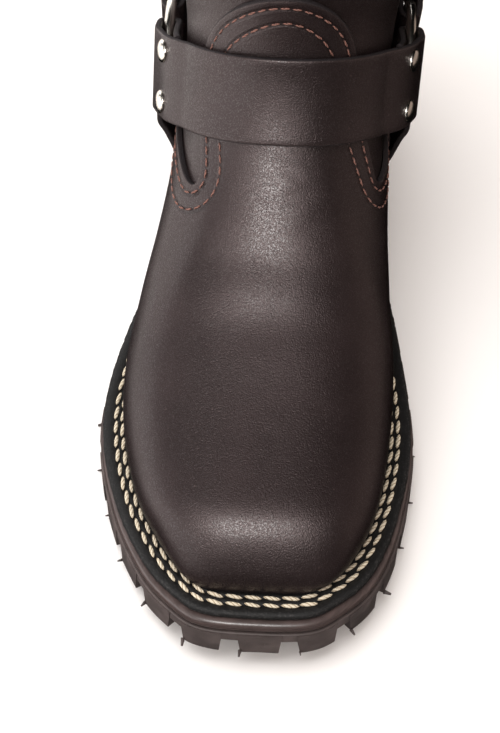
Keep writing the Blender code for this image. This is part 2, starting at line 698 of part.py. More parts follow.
class Run:
    """One side of a strap: the skin under it by reach from the ring, for each place across."""

    def __init__(self, side, angle, turn=None):
        self.side = side
        self.way = np.array([math.cos(math.radians(angle)), math.sin(math.radians(angle))])
        self.over = np.array([self.way[1], -self.way[0]])
        if self.over[1] < 0.0:
            self.over = -self.over
        self.turn = turn
        self.centre, self.normal = ring_place(side)
        self.lines = {}

    def spot(self, reach, across):
        """Place in the side view."""
        return np.array([RING_Y, RING_Z]) + self.way * reach + self.over * across

    def to_welt(self, across):
        """Reach where a strap that runs down comes to the welt."""
        reach = 0.0
        for _ in range(12):
            y, z = self.spot(reach, across)
            reach += (z - float(foot_line(y)) - 3.0 * GAP) / -self.way[1]
        return reach

    def line(self, across):
        """Reach, skin points and outward directions along one line of the strap."""
        if across in self.lines:
            return self.lines[across]
        last = self.turn if self.turn else self.to_welt(across)
        points = [beside(self.side, *self.spot(reach, across)) for reach in np.linspace(0.0, last, 14)]
        ways = [np.array([self.side, 0.0, 0.0])] * len(points)
        reach = list(np.linspace(0.0, last, 14))
        if self.turn:
            axis = np.array([RIBS["heel_mid"][-1], *self.spot(self.turn, across)])
            for angle in np.radians(np.arange(5.0, 90.1, 5.0)):
                way = np.array([self.side * math.cos(angle), *(self.way * math.sin(angle))])
                points.append(skin_point(axis, way))
                ways.append(way)
                reach.append(reach[-1] + np.linalg.norm(points[-1] - points[-2]))
        points = np.array(points)
        self.lines[across] = reach, points, np.array(ways)
        return self.lines[across]

    def on_skin(self, reach, across, height):
        """Point at a height over the skin."""
        reaches, points, ways = self.line(across)
        spot = [np.interp(reach, reaches, column) for column in points.T]
        way = np.array([np.interp(reach, reaches, column) for column in ways.T])
        return np.array(spot) + way / np.linalg.norm(way) * height

    def on_ring(self, reach, across, height):
        """Point at a height over the ring's plane."""
        y, z = self.spot(reach, across)
        away = self.normal[1:] @ (np.array([y, z]) - self.centre[1:])
        return np.array([self.centre[0] - away / self.normal[0] + self.side * height, y, z])

    def point(self, row, across):
        """Point of a strap's middle sheet for a row of reach, share of ring, and both heights."""
        reach, share, height, ring_height = row
        on_skin = self.on_skin(reach, across, height)
        return on_skin + share * (self.on_ring(reach, across, ring_height) - on_skin)


def folded_end(width, back):
    """Rows of a strap end from its upper layer round the ring's wire to the end of its under layer."""
    bore = RING_R - WIRE / 2.0 - 1.5 * CLEAR
    turn = math.sqrt(bore ** 2 - (width / 2.0) ** 2) + WIRE / 2.0
    mouth = RING_R + WIRE / 2.0 + FOLD_PAST
    level = back + FOLD_PAST
    rows = [(level + FOLD_SLOPE, 0.0, LOW, RING_FACE), (level, 0.0, HIGH, RING_FACE)]
    rows += [((back + mouth) / 2.0, 0.5, HIGH, RING_FACE), (mouth, 1.0, HIGH, RING_FACE)]
    for angle in np.radians(np.linspace(0.0, 180.0, 7)):
        rows.append((turn - RING_FACE * math.sin(angle), 1.0, LOW, RING_FACE * math.cos(angle)))
    rows += [(mouth, 1.0, LOW, -RING_FACE), ((back + mouth) / 2.0, 0.0, LOW, -RING_FACE)]
    rows.append((back, 0.0, LOW, -RING_FACE))
    return rows


def strap_lines(width):
    """Places across a strap where its sheet has points."""
    return np.linspace(-width / 2.0, width / 2.0, 4)


def wrapped_strap(name, angle, width, turn, over_steps):
    """Strap from one ring over or round the boot to the other, folded round both."""
    runs = [Run(side, angle, turn) for side in (-1, 1)]
    end = folded_end(width, RETURN)
    columns = []
    for run in runs:
        half = []
        for across in strap_lines(width):
            far = run.line(across)[0][-1]
            over = np.linspace(far, end[0][0], over_steps + 1)[:-1]
            rows = [(reach, 0.0, LOW, 0.0) for reach in over] + end
            half.append([run.point(row, across) for row in rows])
        columns.append(np.array(half))
    lateral, medial = columns
    middle = (lateral[:, :1] + medial[:, :1]) / 2.0
    grid = np.concatenate([lateral[:, :0:-1], middle, medial[:, 1:]], axis=1)
    piece = solidify(add(name, sheet(grid), "leather"), STRAP)
    return piece, runs


def down_strap(name, side):
    """Strap from a ring down to the welt."""
    run = Run(side, DOWN_ANGLE)
    end = folded_end(DOWN_WIDTH, DOWN_RETURN)
    grid = []
    for across in strap_lines(DOWN_WIDTH):
        reach = run.to_welt(across)
        rows = [(reach, 0.0, LOW, 0.0), ((reach + end[0][0]) / 2.0, 0.0, LOW, 0.0)] + end
        grid.append([run.point(row, across) for row in rows])
    piece = solidify(add(name, sheet(np.array(grid)), "leather"), STRAP)
    return piece, run


def build_ring(name, side):
    """Wire ring lying against one side of the boot."""
    centre, normal = ring_place(side)
    bpy.ops.mesh.primitive_torus_add(
        major_radius=RING_R * MM, minor_radius=WIRE / 2.0 * MM, major_segments=24, minor_segments=8)
    ring = bpy.context.object
    ring.name = name
    ring.data.name = name
    ring.data.shade_smooth()
    ring.data.materials.append(material("nickel"))
    for group in list(ring.users_collection):
        group.objects.unlink(ring)
    collection("harness_boot").objects.link(ring)
    ring.location = Vector(centre) * MM
    ring.rotation_euler = Vector(normal).to_track_quat("Z", "Y").to_euler()
    return ring


def rivet_mesh():
    """Cap of a rivet, wide side down, its foot at the origin."""
    if "rivet" in bpy.data.meshes:
        return bpy.data.meshes["rivet"]
    bm = bmesh.new()
    bmesh.ops.create_cone(
        bm, cap_ends=True, segments=12, radius1=RIVET_R * MM, radius2=RIVET_TOP * RIVET_R * MM,
        depth=RIVET_H * MM)
    bmesh.ops.translate(bm, verts=bm.verts, vec=(0.0, 0.0, RIVET_H / 2.0 * MM))
    mesh = bpy.data.meshes.new("rivet")
    bm.to_mesh(mesh)
    bm.free()
    return mesh


def build_rivet(name, run, width, back, reach, across):
    """Cap rivet on the upper layer of a folded end."""
    end = folded_end(width, back)[:4][::-1]
    places = [row[0] for row in end]

    def at(r, c):
        points = np.array([run.point(row, c) for row in end])
        return np.array([np.interp(r, places, column) for column in points.T])

    spot = at(reach, across)
    along = at(reach + 1.0, across) - at(reach - 1.0, across)
    aside = at(reach, across + 1.0) - at(reach, across - 1.0)
    normal = np.cross(along, aside)
    normal *= np.sign(normal[0]) * run.side / np.linalg.norm(normal)
    rivet = add(name, rivet_mesh(), "nickel")
    rivet.location = Vector(spot + normal * (STRAP / 2.0 + RIVET_SEAT)) * MM
    rivet.rotation_euler = Vector(normal).to_track_quat("Z", "Y").to_euler()
    return rivet


def build_harness():
    """Straps, rings and rivets."""
    words = {-1: "lateral", 1: "medial"}
    pieces = []
    wraps = (
        ("instep_strap", INSTEP_ANGLE, INSTEP_WIDTH, INSTEP_TURN, 9),
        ("heel_strap", HEEL_STRAP_ANGLE, HEEL_STRAP_WIDTH, HEEL_STRAP_TURN, 13),
    )
    for name, angle, width, turn, steps in wraps:
        strap, runs = wrapped_strap(name, angle, width, turn, steps)
        pieces.append(strap)
        for run in runs:
            for level, across in (("low", -RIVET_SPREAD), ("high", RIVET_SPREAD)):
                rivet = f"rivet_{name}_{words[run.side]}_{level}"
                pieces.append(build_rivet(rivet, run, width, RETURN, RIVET_REACH, across))
    for side, word in words.items():
        strap, run = down_strap("down_strap_" + word, side)
        rivet = build_rivet("rivet_down_strap_" + word, run, DOWN_WIDTH, DOWN_RETURN, DOWN_RIVET_REACH, 0.0)
        pieces += [strap, rivet, build_ring("ring_" + word, side)]
    return pieces


def centre_on_origin(pieces, holder):
    """Move the holder so that the middle of the boot's box stands over the origin."""
    bpy.context.view_layer.update()
    graph = bpy.context.evaluated_depsgraph_get()
    corners = []
    for piece in pieces:
        if piece.hide_render:
            continue
        shown = piece.evaluated_get(graph)
        mesh = shown.to_mesh()
        corners += [shown.matrix_world @ vert.co for vert in mesh.vertices]
        shown.to_mesh_clear()
    corners = np.array(corners)
    middle = (corners.min(axis=0) + corners.max(axis=0)) / 2.0
    holder.location = (-middle[0], -middle[1], 0.0)
    bpy.context.view_layer.update()


def main():
    for thing in list(bpy.data.objects):
        bpy.data.objects.remove(thing)
    holder = bpy.data.objects.new("harness_boot", None)
    collection("harness_boot").objects.link(holder)
    pieces = [build_upper(), build_vamp(), build_insole(), build_welt(), build_midsole()]
    pieces += [*build_outsole(), *build_heel(), *build_harness()]
    for piece in pieces:
        piece.parent = holder
    centre_on_origin(pieces, holder)


main()
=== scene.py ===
"""Looks of a harness boot for the right foot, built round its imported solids.

The toe points to -Y, the outer side of the foot to -X and the shaft to +Z. Sizes in the tables are
millimetres on the last; they become metres, moved to the part's frame, when a mesh is made.
"""

import math

import bmesh
import bpy
import numpy as np
from bpy.props import FloatProperty, FloatVectorProperty, IntProperty, PointerProperty
from mathutils import Matrix, Vector, noise
from mathutils.bvhtree import BVHTree
from mathutils.kdtree import KDTree


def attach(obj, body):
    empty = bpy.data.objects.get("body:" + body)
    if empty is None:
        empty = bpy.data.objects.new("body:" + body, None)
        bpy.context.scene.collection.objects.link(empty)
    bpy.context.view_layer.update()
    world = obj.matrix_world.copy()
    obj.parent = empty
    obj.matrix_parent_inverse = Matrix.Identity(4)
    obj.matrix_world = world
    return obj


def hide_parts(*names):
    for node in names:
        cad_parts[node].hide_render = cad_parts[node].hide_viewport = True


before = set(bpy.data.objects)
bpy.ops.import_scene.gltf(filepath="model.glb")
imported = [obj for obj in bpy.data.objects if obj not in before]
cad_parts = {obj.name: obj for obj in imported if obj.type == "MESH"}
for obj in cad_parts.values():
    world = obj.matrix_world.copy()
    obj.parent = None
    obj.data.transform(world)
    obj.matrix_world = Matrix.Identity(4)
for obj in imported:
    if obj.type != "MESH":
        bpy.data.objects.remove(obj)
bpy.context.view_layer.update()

bl_info = {
    "name": "Harness boot",
    "version": (1, 0, 0),
    "blender": (4, 5, 0),
    "location": "3D View > Sidebar > Boot",
    "description": "Leather, stitching, sole and metal of a harness boot",
    "category": "Object",
}

MM = 0.001
BODY = "root"
SHIFT = np.array([3.887, 2.241, 0.0])  # from the last to the part's frame
FAR = 200.0
GAP = 0.3

# Leather and sole layers
WALL = 2.2
VAMP = 2.0
STRAP = 2.4
CLEAR = 0.45
INSOLE_RISE = 3.0
WELT = 3.0
WELT_INSIDE = 5.2
MIDSOLE = 5.0
OUTSOLE = 5.0
LUG = 8.4
OUTSOLE_PROUD = 1.0
HEEL_PROUD = 0.5
WELT_TOP = -GAP
MIDSOLE_TOP = WELT_TOP - WELT - GAP
OUTSOLE_TOP = MIDSOLE_TOP - MIDSOLE - GAP
OUTSOLE_BOTTOM = OUTSOLE_TOP - OUTSOLE

# Tread
HEEL_BREAST = 68.0
LUGS_END = -6.0
LUG_PITCH = 20.5
LUG_GROOVE = 5.2
LUG_DEPTHS = (22.0, 16.0)
HEEL_LUG_DEPTHS = (15.0, 13.0)
LUG_ROOM = 0.6
LUG_TAPER = 0.8
LUG_PROUD = 0.35
LUG_DRAFT = 1.1  # a lug's sides lean in towards the floor
LUG_ROOT = 1.0
MIDDLE_LUG_X = (10.0, 6.0)
MIDDLE_LUG_Y = 6.5
MIDDLE_LUG_ROWS = (-112.0, -93.0, -74.0, -55.0, -36.0, -17.0)
HEEL_LUG_ROWS = (77.0, 96.0, 115.0)
MIDDLE_LUG_SHIFT = 12.5
MIDDLE_LUG_STAGGER = 2.5
PAIR_ROOM = 52.0
SINGLE_ROOM = 26.0
MIDDLE_LUG_DRAFT = 0.5
LUG_CHAMFER = 0.9  # its height, and how far in a lug's face lies
LUG_CHAMFER_BEND = (0.35, 0.3)  # how far in and how high the chamfer bends
LUG_RIM_POINTS = 9
LUG_SHARP = 32.0
LEAST_BEND = 0.001
FLASH_RISE = 1.6  # over a lug's face

# Harness
RING_Y = 60.0
RING_Z = 86.8
RING_R = 21.5
WIRE = 4.0
INSTEP_WIDTH = 31.0
HEEL_STRAP_WIDTH = 28.0
DOWN_WIDTH = 22.0
INSTEP_ANGLE = 146.5
HEEL_STRAP_ANGLE = 10.0
DOWN_ANGLE = 260.0
INSTEP_TURN = 24.0
HEEL_STRAP_TURN = 46.0
RETURN = 42.0
DOWN_RETURN = 33.0
FOLD_SLOPE = 9.0
FOLD_PAST = 2.0
RIVET_REACH = 39.0
DOWN_RIVET_REACH = 30.0
RIVET_SPREAD = 9.4
RING_FACE = WIRE / 2.0 + CLEAR + STRAP / 2.0
LOW = CLEAR + STRAP / 2.0
HIGH = LOW + STRAP + GAP
RING_LIFT = LOW + RING_FACE + CLEAR
DOWN_END = 3.0 * GAP  # a down strap's end over the foot line
WELT_ROUNDS = 12  # rounds to find where a strap meets the welt
LYING_POINTS = 24
TURN_STEP = 2.5  # degrees
FOLD_STEPS = 9
FOLD_POINTS = 90
WRAP_POINTS = 61
DOWN_POINTS = 13
STRAP_EDGE = ((0.0, 1.0), (0.13, 0.5), (0.5, 0.13), (1.0, 0.0))  # inset and fall, in radii of its rounding
STRAP_FLAT_FROM = 3.0  # in the same radii
STRAP_FLAT_POINTS = 9
SOFT_ROUNDS = 6  # rounds that soften a strap's bends
RAW_EDGE = 0.4
RAW_STEP = 0.3  # points past the raw edge count as this much further in
END_ROWS = 12  # rows at a strap's end that show its raw cut

# Edge of the vamp
TONGUE_X = -0.5
TONGUE_HALF = 28.0
TONGUE_SPRING = 123.2
TONGUE_TOP = 162.2
TONGUE_LEAN = 0.06  # towards the medial side above the spring
TONGUE_FLARE = {-1: -0.03, 1: 0.265}  # widening under the spring, by side
QUARTER_Z = 88.7
QUARTER_RISE = -0.04
QUARTER_TILT = -0.136
QUARTER_START = -10.0
NOTCH_ROUND = 9.0
TONGUE_BACK = 60.0

# Ribs of the last, from the toe to the collar
RIB_COLUMNS = (
    "base_y", "base_z", "top_y", "top_z", "base_lateral", "base_medial",
    "wide_lateral", "wide_medial", "wide_at", "square_top", "square_low", "ridge_x",
)
RIBS = {
    "toe_front": (-138.0, 28.9, -141.6, 29.5, 22.0, 17.5, 22.4, 17.9, 0.15, 3.0, 2.0, 1.5),
    "toe_face": (-133.0, 28.1, -141.2, 37.4, 28.1, 24.3, 29.0, 25.2, 0.20, 3.0, 2.0, 1.5),
    "toe_edge": (-126.0, 27.1, -134.0, 48.2, 33.8, 29.8, 35.1, 31.1, 0.25, 2.9, 2.0, 1.5),
    "toe_break": (-116.0, 25.7, -124.5, 55.0, 39.5, 34.3, 41.2, 35.9, 0.29, 2.8, 2.0, 1.5),
    "toe_box": (-101.0, 24.1, -108.0, 59.5, 46.2, 38.7, 48.0, 40.3, 0.32, 2.6, 2.0, 1.5),
    "ball": (-72.0, 21.9, -74.0, 70.0, 53.0, 42.6, 54.0, 43.7, 0.34, 2.4, 2.0, 1.5),
    "vamp": (-40.0, 21.8, -44.0, 85.0, 51.0, 40.0, 52.3, 43.3, 0.34, 2.25, 2.0, 1.5),
    "waist": (-6.0, 25.0, -19.0, 104.0, 42.5, 35.0, 46.3, 40.8, 0.36, 2.15, 2.0, 1.5),
    "instep": (30.0, 33.0, -1.0, 124.0, 37.0, 33.0, 41.8, 40.8, 0.42, 2.1, 1.7, 1.5),
    "heel_front": (70.0, 41.0, 8.5, 141.0, 34.0, 33.0, 42.5, 42.5, 0.47, 2.1, 1.4, 2.0),
    "heel_mid": (114.0, 44.8, 12.5, 156.0, 31.0, 31.0, 44.0, 44.5, 0.51, 2.1, 1.3, 2.5),
    "heel_back": (129.5, 45.8, 13.8, 168.0, 26.8, 26.8, 45.5, 45.8, 0.53, 2.1, 1.4, 2.8),
    "heel_end": (140.8, 46.4, 14.2, 177.0, 15.5, 15.5, 46.5, 46.7, 0.54, 2.1, 1.7, 3.0),
    "back_foot": (145.0, 46.9, 14.2, 184.0, 0.0, 0.0, 47.0, 47.0, 0.54, 2.1, 2.0, 3.1),
    "back_low": (147.3, 54.5, 14.0, 191.0, 0.0, 0.0, 47.2, 47.2, 0.54, 2.1, 2.0, 3.2),
    "back_swell": (148.0, 77.0, 13.6, 200.0, 0.0, 0.0, 47.3, 47.3, 0.54, 2.1, 2.05, 3.3),
    "back_heel": (145.0, 110.0, 12.8, 212.0, 0.0, 0.0, 47.7, 47.7, 0.53, 2.1, 2.1, 3.4),
    "ankle": (137.0, 157.0, 11.0, 230.0, 0.0, 0.0, 48.8, 48.8, 0.52, 2.1, 2.1, 3.6),
    "leg": (134.0, 213.0, 7.5, 254.0, 0.0, 0.0, 50.8, 50.8, 0.51, 2.1, 2.1, 3.8),
    "collar": (135.5, 282.0, 2.7, 282.0, 0.0, 0.0, 52.8, 52.8, 0.50, 2.1, 2.1, 4.0),
}
BACK = list(RIBS).index("back_foot")
HEEL_END = list(RIBS).index("heel_end")
HEEL_MID = list(RIBS).index("heel_mid")
HEEL_BLEND = 0.8
COLLAR = len(RIBS) - 1
VAMP_END = list(RIBS).index("ankle")  # no vamp above this rib

# Level sections of the heel, from the foot line up
HEEL_SECTIONS = (  # widest place along the foot, half-width, squareness
    (114.0, 31.0, 2.0),
    (100.0, 37.0, 2.1),
    (86.0, 40.8, 2.25),
    (76.0, 43.6, 2.35),
    (77.0, 46.2, 2.25),
    (77.0, 47.0, 2.2),
)
HEEL_FOOT = 44.0
HEEL_STEP = 16.0
HEEL_FULL = 88.0
HEEL_TOP = 118.0

# Flat of the ankle under the rings: half-width at its middle and lean, by side
ANKLE_FLAT = {-1: (39.2, 0.0), 1: (38.6, 0.04)}
ANKLE_Y = 60.0
ANKLE_Z = 90.0
ANKLE_REACH = 48.0
ANKLE_RISE = 22.0
ANKLE_SOFT = 1.2

# Welt ledge by place along the foot: its width, and its outer row of stitches from the crease
LEDGE_Y = (-141.0, -100.0, -20.0, 30.0, 70.0, 145.0)
LEDGE_WIDTH = (11.5, 9.6, 9.5, 5.5, 3.5, 3.0)
OUTER_ROW_Y = (-141.0, -118.0, -80.0, 145.0)
OUTER_ROW = (5.2, 4.9, 4.5, 4.3)
INNER_ROW = 2.0
WELT_ROWS_END = 20.0
WELT_BACK = (2.0, 1.2, 0.2, 0.0)  # how far the welt's edge lies inside the sole's, at the same places

# Soft creases of the vamp: middle, direction in plan, half length, half width, depth
CREASE_COLUMNS = ("x", "y", "degrees", "long", "wide", "deep")
CREASES = {
    "flex_front": (4.0, -58.0, 4.0, 42.0, 8.0, 0.35),
    "flex_back": (-4.0, -40.0, -5.0, 38.0, 6.5, 0.40),
    "lateral_fold": (-37.0, -30.0, 62.0, 22.0, 6.0, 0.55),
    "medial_fold": (36.0, -26.0, -60.0, 20.0, 6.0, 0.50),
    "instep_wrinkle": (8.0, -22.0, 14.0, 9.0, 2.0, 0.22),
    "instep_wrinkle_high": (4.0, -15.0, -18.0, 8.0, 1.8, 0.20),
    "instep_wrinkle_low": (14.0, -29.0, 30.0, 8.0, 2.2, 0.18),
}
CREASE_FADE = 1.6
CREASE_FOOT = 34.0  # no crease below this height
CREASE_RISE = 16.0
CREASE_RIDGE = 0.45
CREASE_RIDGE_AT = 1.7

# Stitches
STITCH_SPREAD = 0.05
THREAD_FLAT = 0.8  # height of a thread by its width

# Fineness
FINE = 20  # skin rows for each rib
HALF = 60  # skin columns on each side of the ridge
RIB_POINTS = 90
FEATHER_STEPS = 400
OUTLINE_POINTS = 640
OUTLINE_SOFT = 9  # points on each side that soften the foot outline
OUT_SOFT = 18
LEDGE_SOFT = 10
SEAM_POINTS = 200
CUT_HALVINGS = 16
WELD = 0.01
EDGE_FAR = 30.0  # distances from an edge count up to this
LINE_STEP = 0.5
WAY_SOFT = 3
ROW_SOFT = 4
ROW_STEP = 1.0
PROBE = 2.0


# The last

def spline(rows):
    """Natural cubic curve through rows at 0, 1, 2 and so on."""
    rows = np.asarray(rows, float)
    count = len(rows)
    system = np.eye(count)
    right = np.zeros_like(rows)
    for i in range(1, count - 1):
        system[i, i - 1:i + 2] = 1.0, 4.0, 1.0
        right[i] = 6.0 * (rows[i - 1] - 2.0 * rows[i] + rows[i + 1])
    bend = np.linalg.solve(system, right)

    def at(t):
        t = np.asarray(t, float)
        i = np.clip(t.astype(int), 0, count - 2)
        f = (t - i)[..., None]
        g = 1.0 - f
        return (rows[i] * g + rows[i + 1] * f
                + (g ** 3 - g) * bend[i] / 6.0 + (f ** 3 - f) * bend[i + 1] / 6.0)

    return at


def ease(share):
    """Smooth step from 0 to 1."""
    share = np.clip(share, 0.0, 1.0)
    return share * share * (3.0 - 2.0 * share)


RIB_AT = spline(list(RIBS.values()))
HEEL_AT = spline(HEEL_SECTIONS)
BACK_SEAM = RIB_AT(np.linspace(BACK, COLLAR, SEAM_POINTS))[:, :2]


def heel_half(y, z):
    """Half-width of the round heel behind its widest place."""
    step = np.clip((np.asarray(z, float) - HEEL_FOOT) / HEEL_STEP, 0.0, len(HEEL_SECTIONS) - 1)
    centre, half, square = np.moveaxis(HEEL_AT(step), -1, 0)
    end = np.interp(z, BACK_SEAM[:, 1], BACK_SEAM[:, 0])
    share = np.clip((y - centre) / (end - centre), 0.0, 1.0)
    return half * (1.0 - share ** square) ** (1.0 / square)


def rib(t):
    """Sizes of the rib at t, by column name."""
    sizes = dict(zip(RIB_COLUMNS, RIB_AT(t)))
    if HEEL_MID < t < BACK:
        turn = math.pi / 2.0 * (t - HEEL_MID) / (BACK - HEEL_MID)
        start, end = RIBS["heel_mid"][0], RIBS["back_foot"][0]
        sizes["base_y"] = start + (end - start) * math.sin(turn)
        if t > HEEL_END:
            sizes["base_z"] = np.interp(t, (HEEL_END, BACK), (RIBS["heel_end"][1], RIBS["back_foot"][1]))
        sizes["base_lateral"] = sizes["base_medial"] = float(heel_half(sizes["base_y"], sizes["base_z"]))
    elif t >= BACK:
        sizes["base_lateral"] = sizes["base_medial"] = 0.0
    return sizes


def even(points, pieces):
    """Points at even distances along a polyline."""
    points = np.asarray(points, float)
    length = np.concatenate([[0.0], np.cumsum(np.linalg.norm(np.diff(points, axis=0), axis=1))])
    wanted = np.linspace(0.0, length[-1], pieces + 1)
    return np.stack([np.interp(wanted, length, column) for column in points.T], 1)


def flattened(out, y, z, side):
    """Half-width with the flat of the ankle pressed in, fading away from it."""
    half, lean = ANKLE_FLAT[side]
    away = ((y - ANKLE_Y) ** 2 + (z - ANKLE_Z) ** 2) / ANKLE_REACH ** 2
    share = np.exp(-away ** 2) * ease((z - HEEL_FOOT) / ANKLE_RISE)
    excess = out - half - lean * (z - ANKLE_Z)
    return out - share * (excess + np.sqrt(excess ** 2 + ANKLE_SOFT ** 2)) / 2.0


def half_rib(t, side):
    """Points of the rib at t from its base to the ridge on one side, -1 lateral or 1 medial."""
    sizes = rib(t)
    word = "lateral" if side < 0 else "medial"
    base, wide, split = sizes["base_" + word], sizes["wide_" + word], sizes["wide_at"]
    angle = np.linspace(0.0, math.pi / 2.0, RIB_POINTS)
    sine, cosine = np.sin(angle), np.abs(np.cos(angle))
    low, top = 2.0 / sizes["square_low"], 2.0 / sizes["square_top"]
    out = np.concatenate([base + (wide - base) * sine ** low, wide * cosine[1:] ** top])
    up = np.concatenate([split * (1.0 - cosine ** low), split + (1.0 - split) * sine[1:] ** top])
    y = sizes["base_y"] + (sizes["top_y"] - sizes["base_y"]) * up
    z = sizes["base_z"] + (sizes["top_z"] - sizes["base_z"]) * up
    if t > HEEL_MID:
        share = ease((t - HEEL_MID) / HEEL_BLEND) * ease((HEEL_TOP - z) / (HEEL_TOP - HEEL_FULL))
        out = out + share * (heel_half(y, z) - out)
    out = flattened(out, y, z, side)
    return even(np.stack([sizes["ridge_x"] + side * out, y, z], 1), HALF)


def outward(grid):
    """Unit normals of the skin: level along the foot line, one for both sides of the back seam."""
    normal = np.cross(np.gradient(grid, axis=1), np.gradient(grid, axis=0))
    closed = np.isclose(grid[:, 0], grid[:, -1]).all(axis=1)
    seam = normal[closed, 0] + normal[closed, -1]
    normal[closed, 0] = seam
    normal[closed, -1] = seam
    foot = np.flatnonzero(~closed).max() + 2
    normal[:foot, 0, 2] = 0.0
    normal[:foot, -1, 2] = 0.0
    return normal / np.linalg.norm(normal, axis=2, keepdims=True)


SKIN = np.array([np.concatenate([half_rib(t, -1), half_rib(t, 1)[-2::-1]])
                 for t in np.linspace(0.0, COLLAR, COLLAR * FINE + 1)])
OUT = outward(SKIN)
WIDE = SKIN.shape[1] - 1  # last column


def sample(grid, u, v):
    """Value of a skin grid between its rows and columns, smooth both ways."""
    value = 0.0
    parts = []
    for place, size in ((u, grid.shape[0]), (v, grid.shape[1])):
        place = np.clip(np.asarray(place, float), 0.0, size - 1.0)
        i = np.minimum(place.astype(int), size - 2)
        f = place - i
        weights = (f * (-0.5 + f * (1.0 - 0.5 * f)), 1.0 + f * f * (1.5 * f - 2.5),
                   f * (0.5 + f * (2.0 - 1.5 * f)), f * f * (0.5 * f - 0.5))
        parts.append([(np.clip(i + k - 1, 0, size - 1), w) for k, w in enumerate(weights)])
    for i, a in parts[0]:
        for j, b in parts[1]:
            value = value + (a * b)[..., None] * grid[i, j]
    return value


def skin_at(u, v):
    """Points and outward directions of the skin."""
    way = sample(OUT, u, v)
    return sample(SKIN, u, v), way / np.linalg.norm(way, axis=-1, keepdims=True)


def even_rows(step, last):
    """Skin rows up to a rib, about one step apart where they are furthest apart."""
    gap = np.linalg.norm(np.diff(SKIN[:last * FINE + 1], axis=0), axis=2).max(axis=1)
    length = np.concatenate([[0.0], np.cumsum(gap)])
    wanted = np.linspace(0.0, length[-1], int(length[-1] / step) + 1)
    return np.interp(wanted, length, np.arange(len(length)))


FEATHER = [rib(t) for t in np.linspace(0.0, BACK, FEATHER_STEPS)]
FEATHER_Y = np.array([sizes["base_y"] for sizes in FEATHER])
FEATHER_Z = np.array([sizes["base_z"] for sizes in FEATHER])
TOE_SLOPE = (RIBS["toe_front"][3] - RIBS["toe_front"][1]) / (RIBS["toe_front"][2] - RIBS["toe_front"][0])


def foot_line(y):
    """Height of the line where the upper meets the welt."""
    y = np.asarray(y, float)
    return np.interp(y, FEATHER_Y, FEATHER_Z) + TOE_SLOPE * np.minimum(y - FEATHER_Y[0], 0.0)


def smooth_ring(values, reach):
    """Closed row of values, softened over a reach in points on each side."""
    shares = np.exp(-np.linspace(-2.0, 2.0, 2 * reach + 1) ** 2)
    rolled = [np.roll(values, k - reach, axis=0) * share for k, share in enumerate(shares)]
    return sum(rolled) / shares.sum()


def foot_outline():
    """Foot outline from the heel along the lateral side, toe and medial side, and its outward ways."""
    lateral = [(s["ridge_x"] - s["base_lateral"], s["base_y"]) for s in reversed(FEATHER)]
    medial = [(s["ridge_x"] + s["base_medial"], s["base_y"]) for s in FEATHER]
    line = even(np.concatenate([lateral, SKIN[0, 1:-1, :2], medial]), OUTLINE_POINTS)[:-1]
    line = smooth_ring(line, OUTLINE_SOFT)
    run = np.roll(line, -1, axis=0) - np.roll(line, 1, axis=0)
    out = smooth_ring(np.stack([run[:, 1], -run[:, 0]], 1), OUT_SOFT)
    return line, out / np.linalg.norm(out, axis=1, keepdims=True)


FOOT, FOOT_OUT = foot_outline()
LEDGE = smooth_ring(np.interp(FOOT[:, 1], LEDGE_Y, LEDGE_WIDTH), LEDGE_SOFT)


def sole_ring(share, extra, level):
    """Closed row of points round the sole, a share of the ledge and extra width out, at a level over
    the foot line."""
    width = share * LEDGE + extra
    plan = FOOT + FOOT_OUT * width[:, None]
    return np.column_stack([plan, foot_line(plan[:, 1]) + level])


# Meshes and pieces

def make_mesh(name, points, faces, attributes=None):
    """Smooth mesh of points on the last, with values for its points."""
    mesh = bpy.data.meshes.new(name)
    mesh.from_pydata((np.asarray(points) + SHIFT) * MM, [], faces)
    for key, values in (attributes or {}).items():
        layer = mesh.attributes.new(key, "FLOAT", "POINT")
        layer.data.foreach_set("value", np.asarray(values, np.float32))
    mesh.shade_smooth()
    mesh.update()
    return mesh


def outward_faces(mesh):
    """Turn the faces of a closed mesh outwards."""
    bm = bmesh.new()
    bm.from_mesh(mesh)
    bmesh.ops.recalc_face_normals(bm, faces=bm.faces)
    bm.to_mesh(mesh)
    bm.free()
    return mesh


def add_piece(name, mesh, finish=None):
    """Object of a mesh in the scene."""
    if finish is not None:
        mesh.materials.append(finish)
    piece = bpy.data.objects.new(name, mesh)
    bpy.context.scene.collection.objects.link(piece)
    return piece


def plain_mesh(piece):
    """Make what a piece's modifiers give its own mesh."""
    bpy.context.view_layer.update()
    graph = bpy.context.evaluated_depsgraph_get()
    mesh = bpy.data.meshes.new_from_object(piece.evaluated_get(graph))
    piece.modifiers.clear()
    piece.data = mesh
    return piece


def grid_faces(rows, columns, closed=False):
    """Four-sided faces of a grid of points, whose rows may close on themselves."""
    last = columns if closed else columns - 1
    return [(i * columns + j, i * columns + (j + 1) % columns,
             (i + 1) * columns + (j + 1) % columns, (i + 1) * columns + j)
            for i in range(rows - 1) for j in range(last)]


def ring_mesh(name, rings, closed=False, sharp=40.0, attributes=None):
    """Mesh through closed rows of points; the rows close on each other, or the ends are capped across."""
    count, size = len(rings), len(rings[0])
    faces = grid_faces(count, size, True)
    if closed:
        faces += [((count - 1) * size + j, (count - 1) * size + (j + 1) % size, (j + 1) % size, j)
                  for j in range(size)]
    else:
        for start in (0, (count - 1) * size):
            for k in range(size // 2):
                corners = [k, k + 1, size - k - 1, (size - k) % size]
                faces.append([start + c for c in dict.fromkeys(corners)])
    faces = [face for face in faces if len(face) > 2]
    mesh = outward_faces(make_mesh(name, np.concatenate(rings), faces, attributes))
    mesh.set_sharp_from_angle(angle=math.radians(sharp))
    return mesh


def settle(piece, nodes=()):
    """Fasten a piece to the boot's body, and hide the solids it stands for."""
    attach(piece, BODY)
    if nodes:
        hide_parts(*nodes)
    return piece


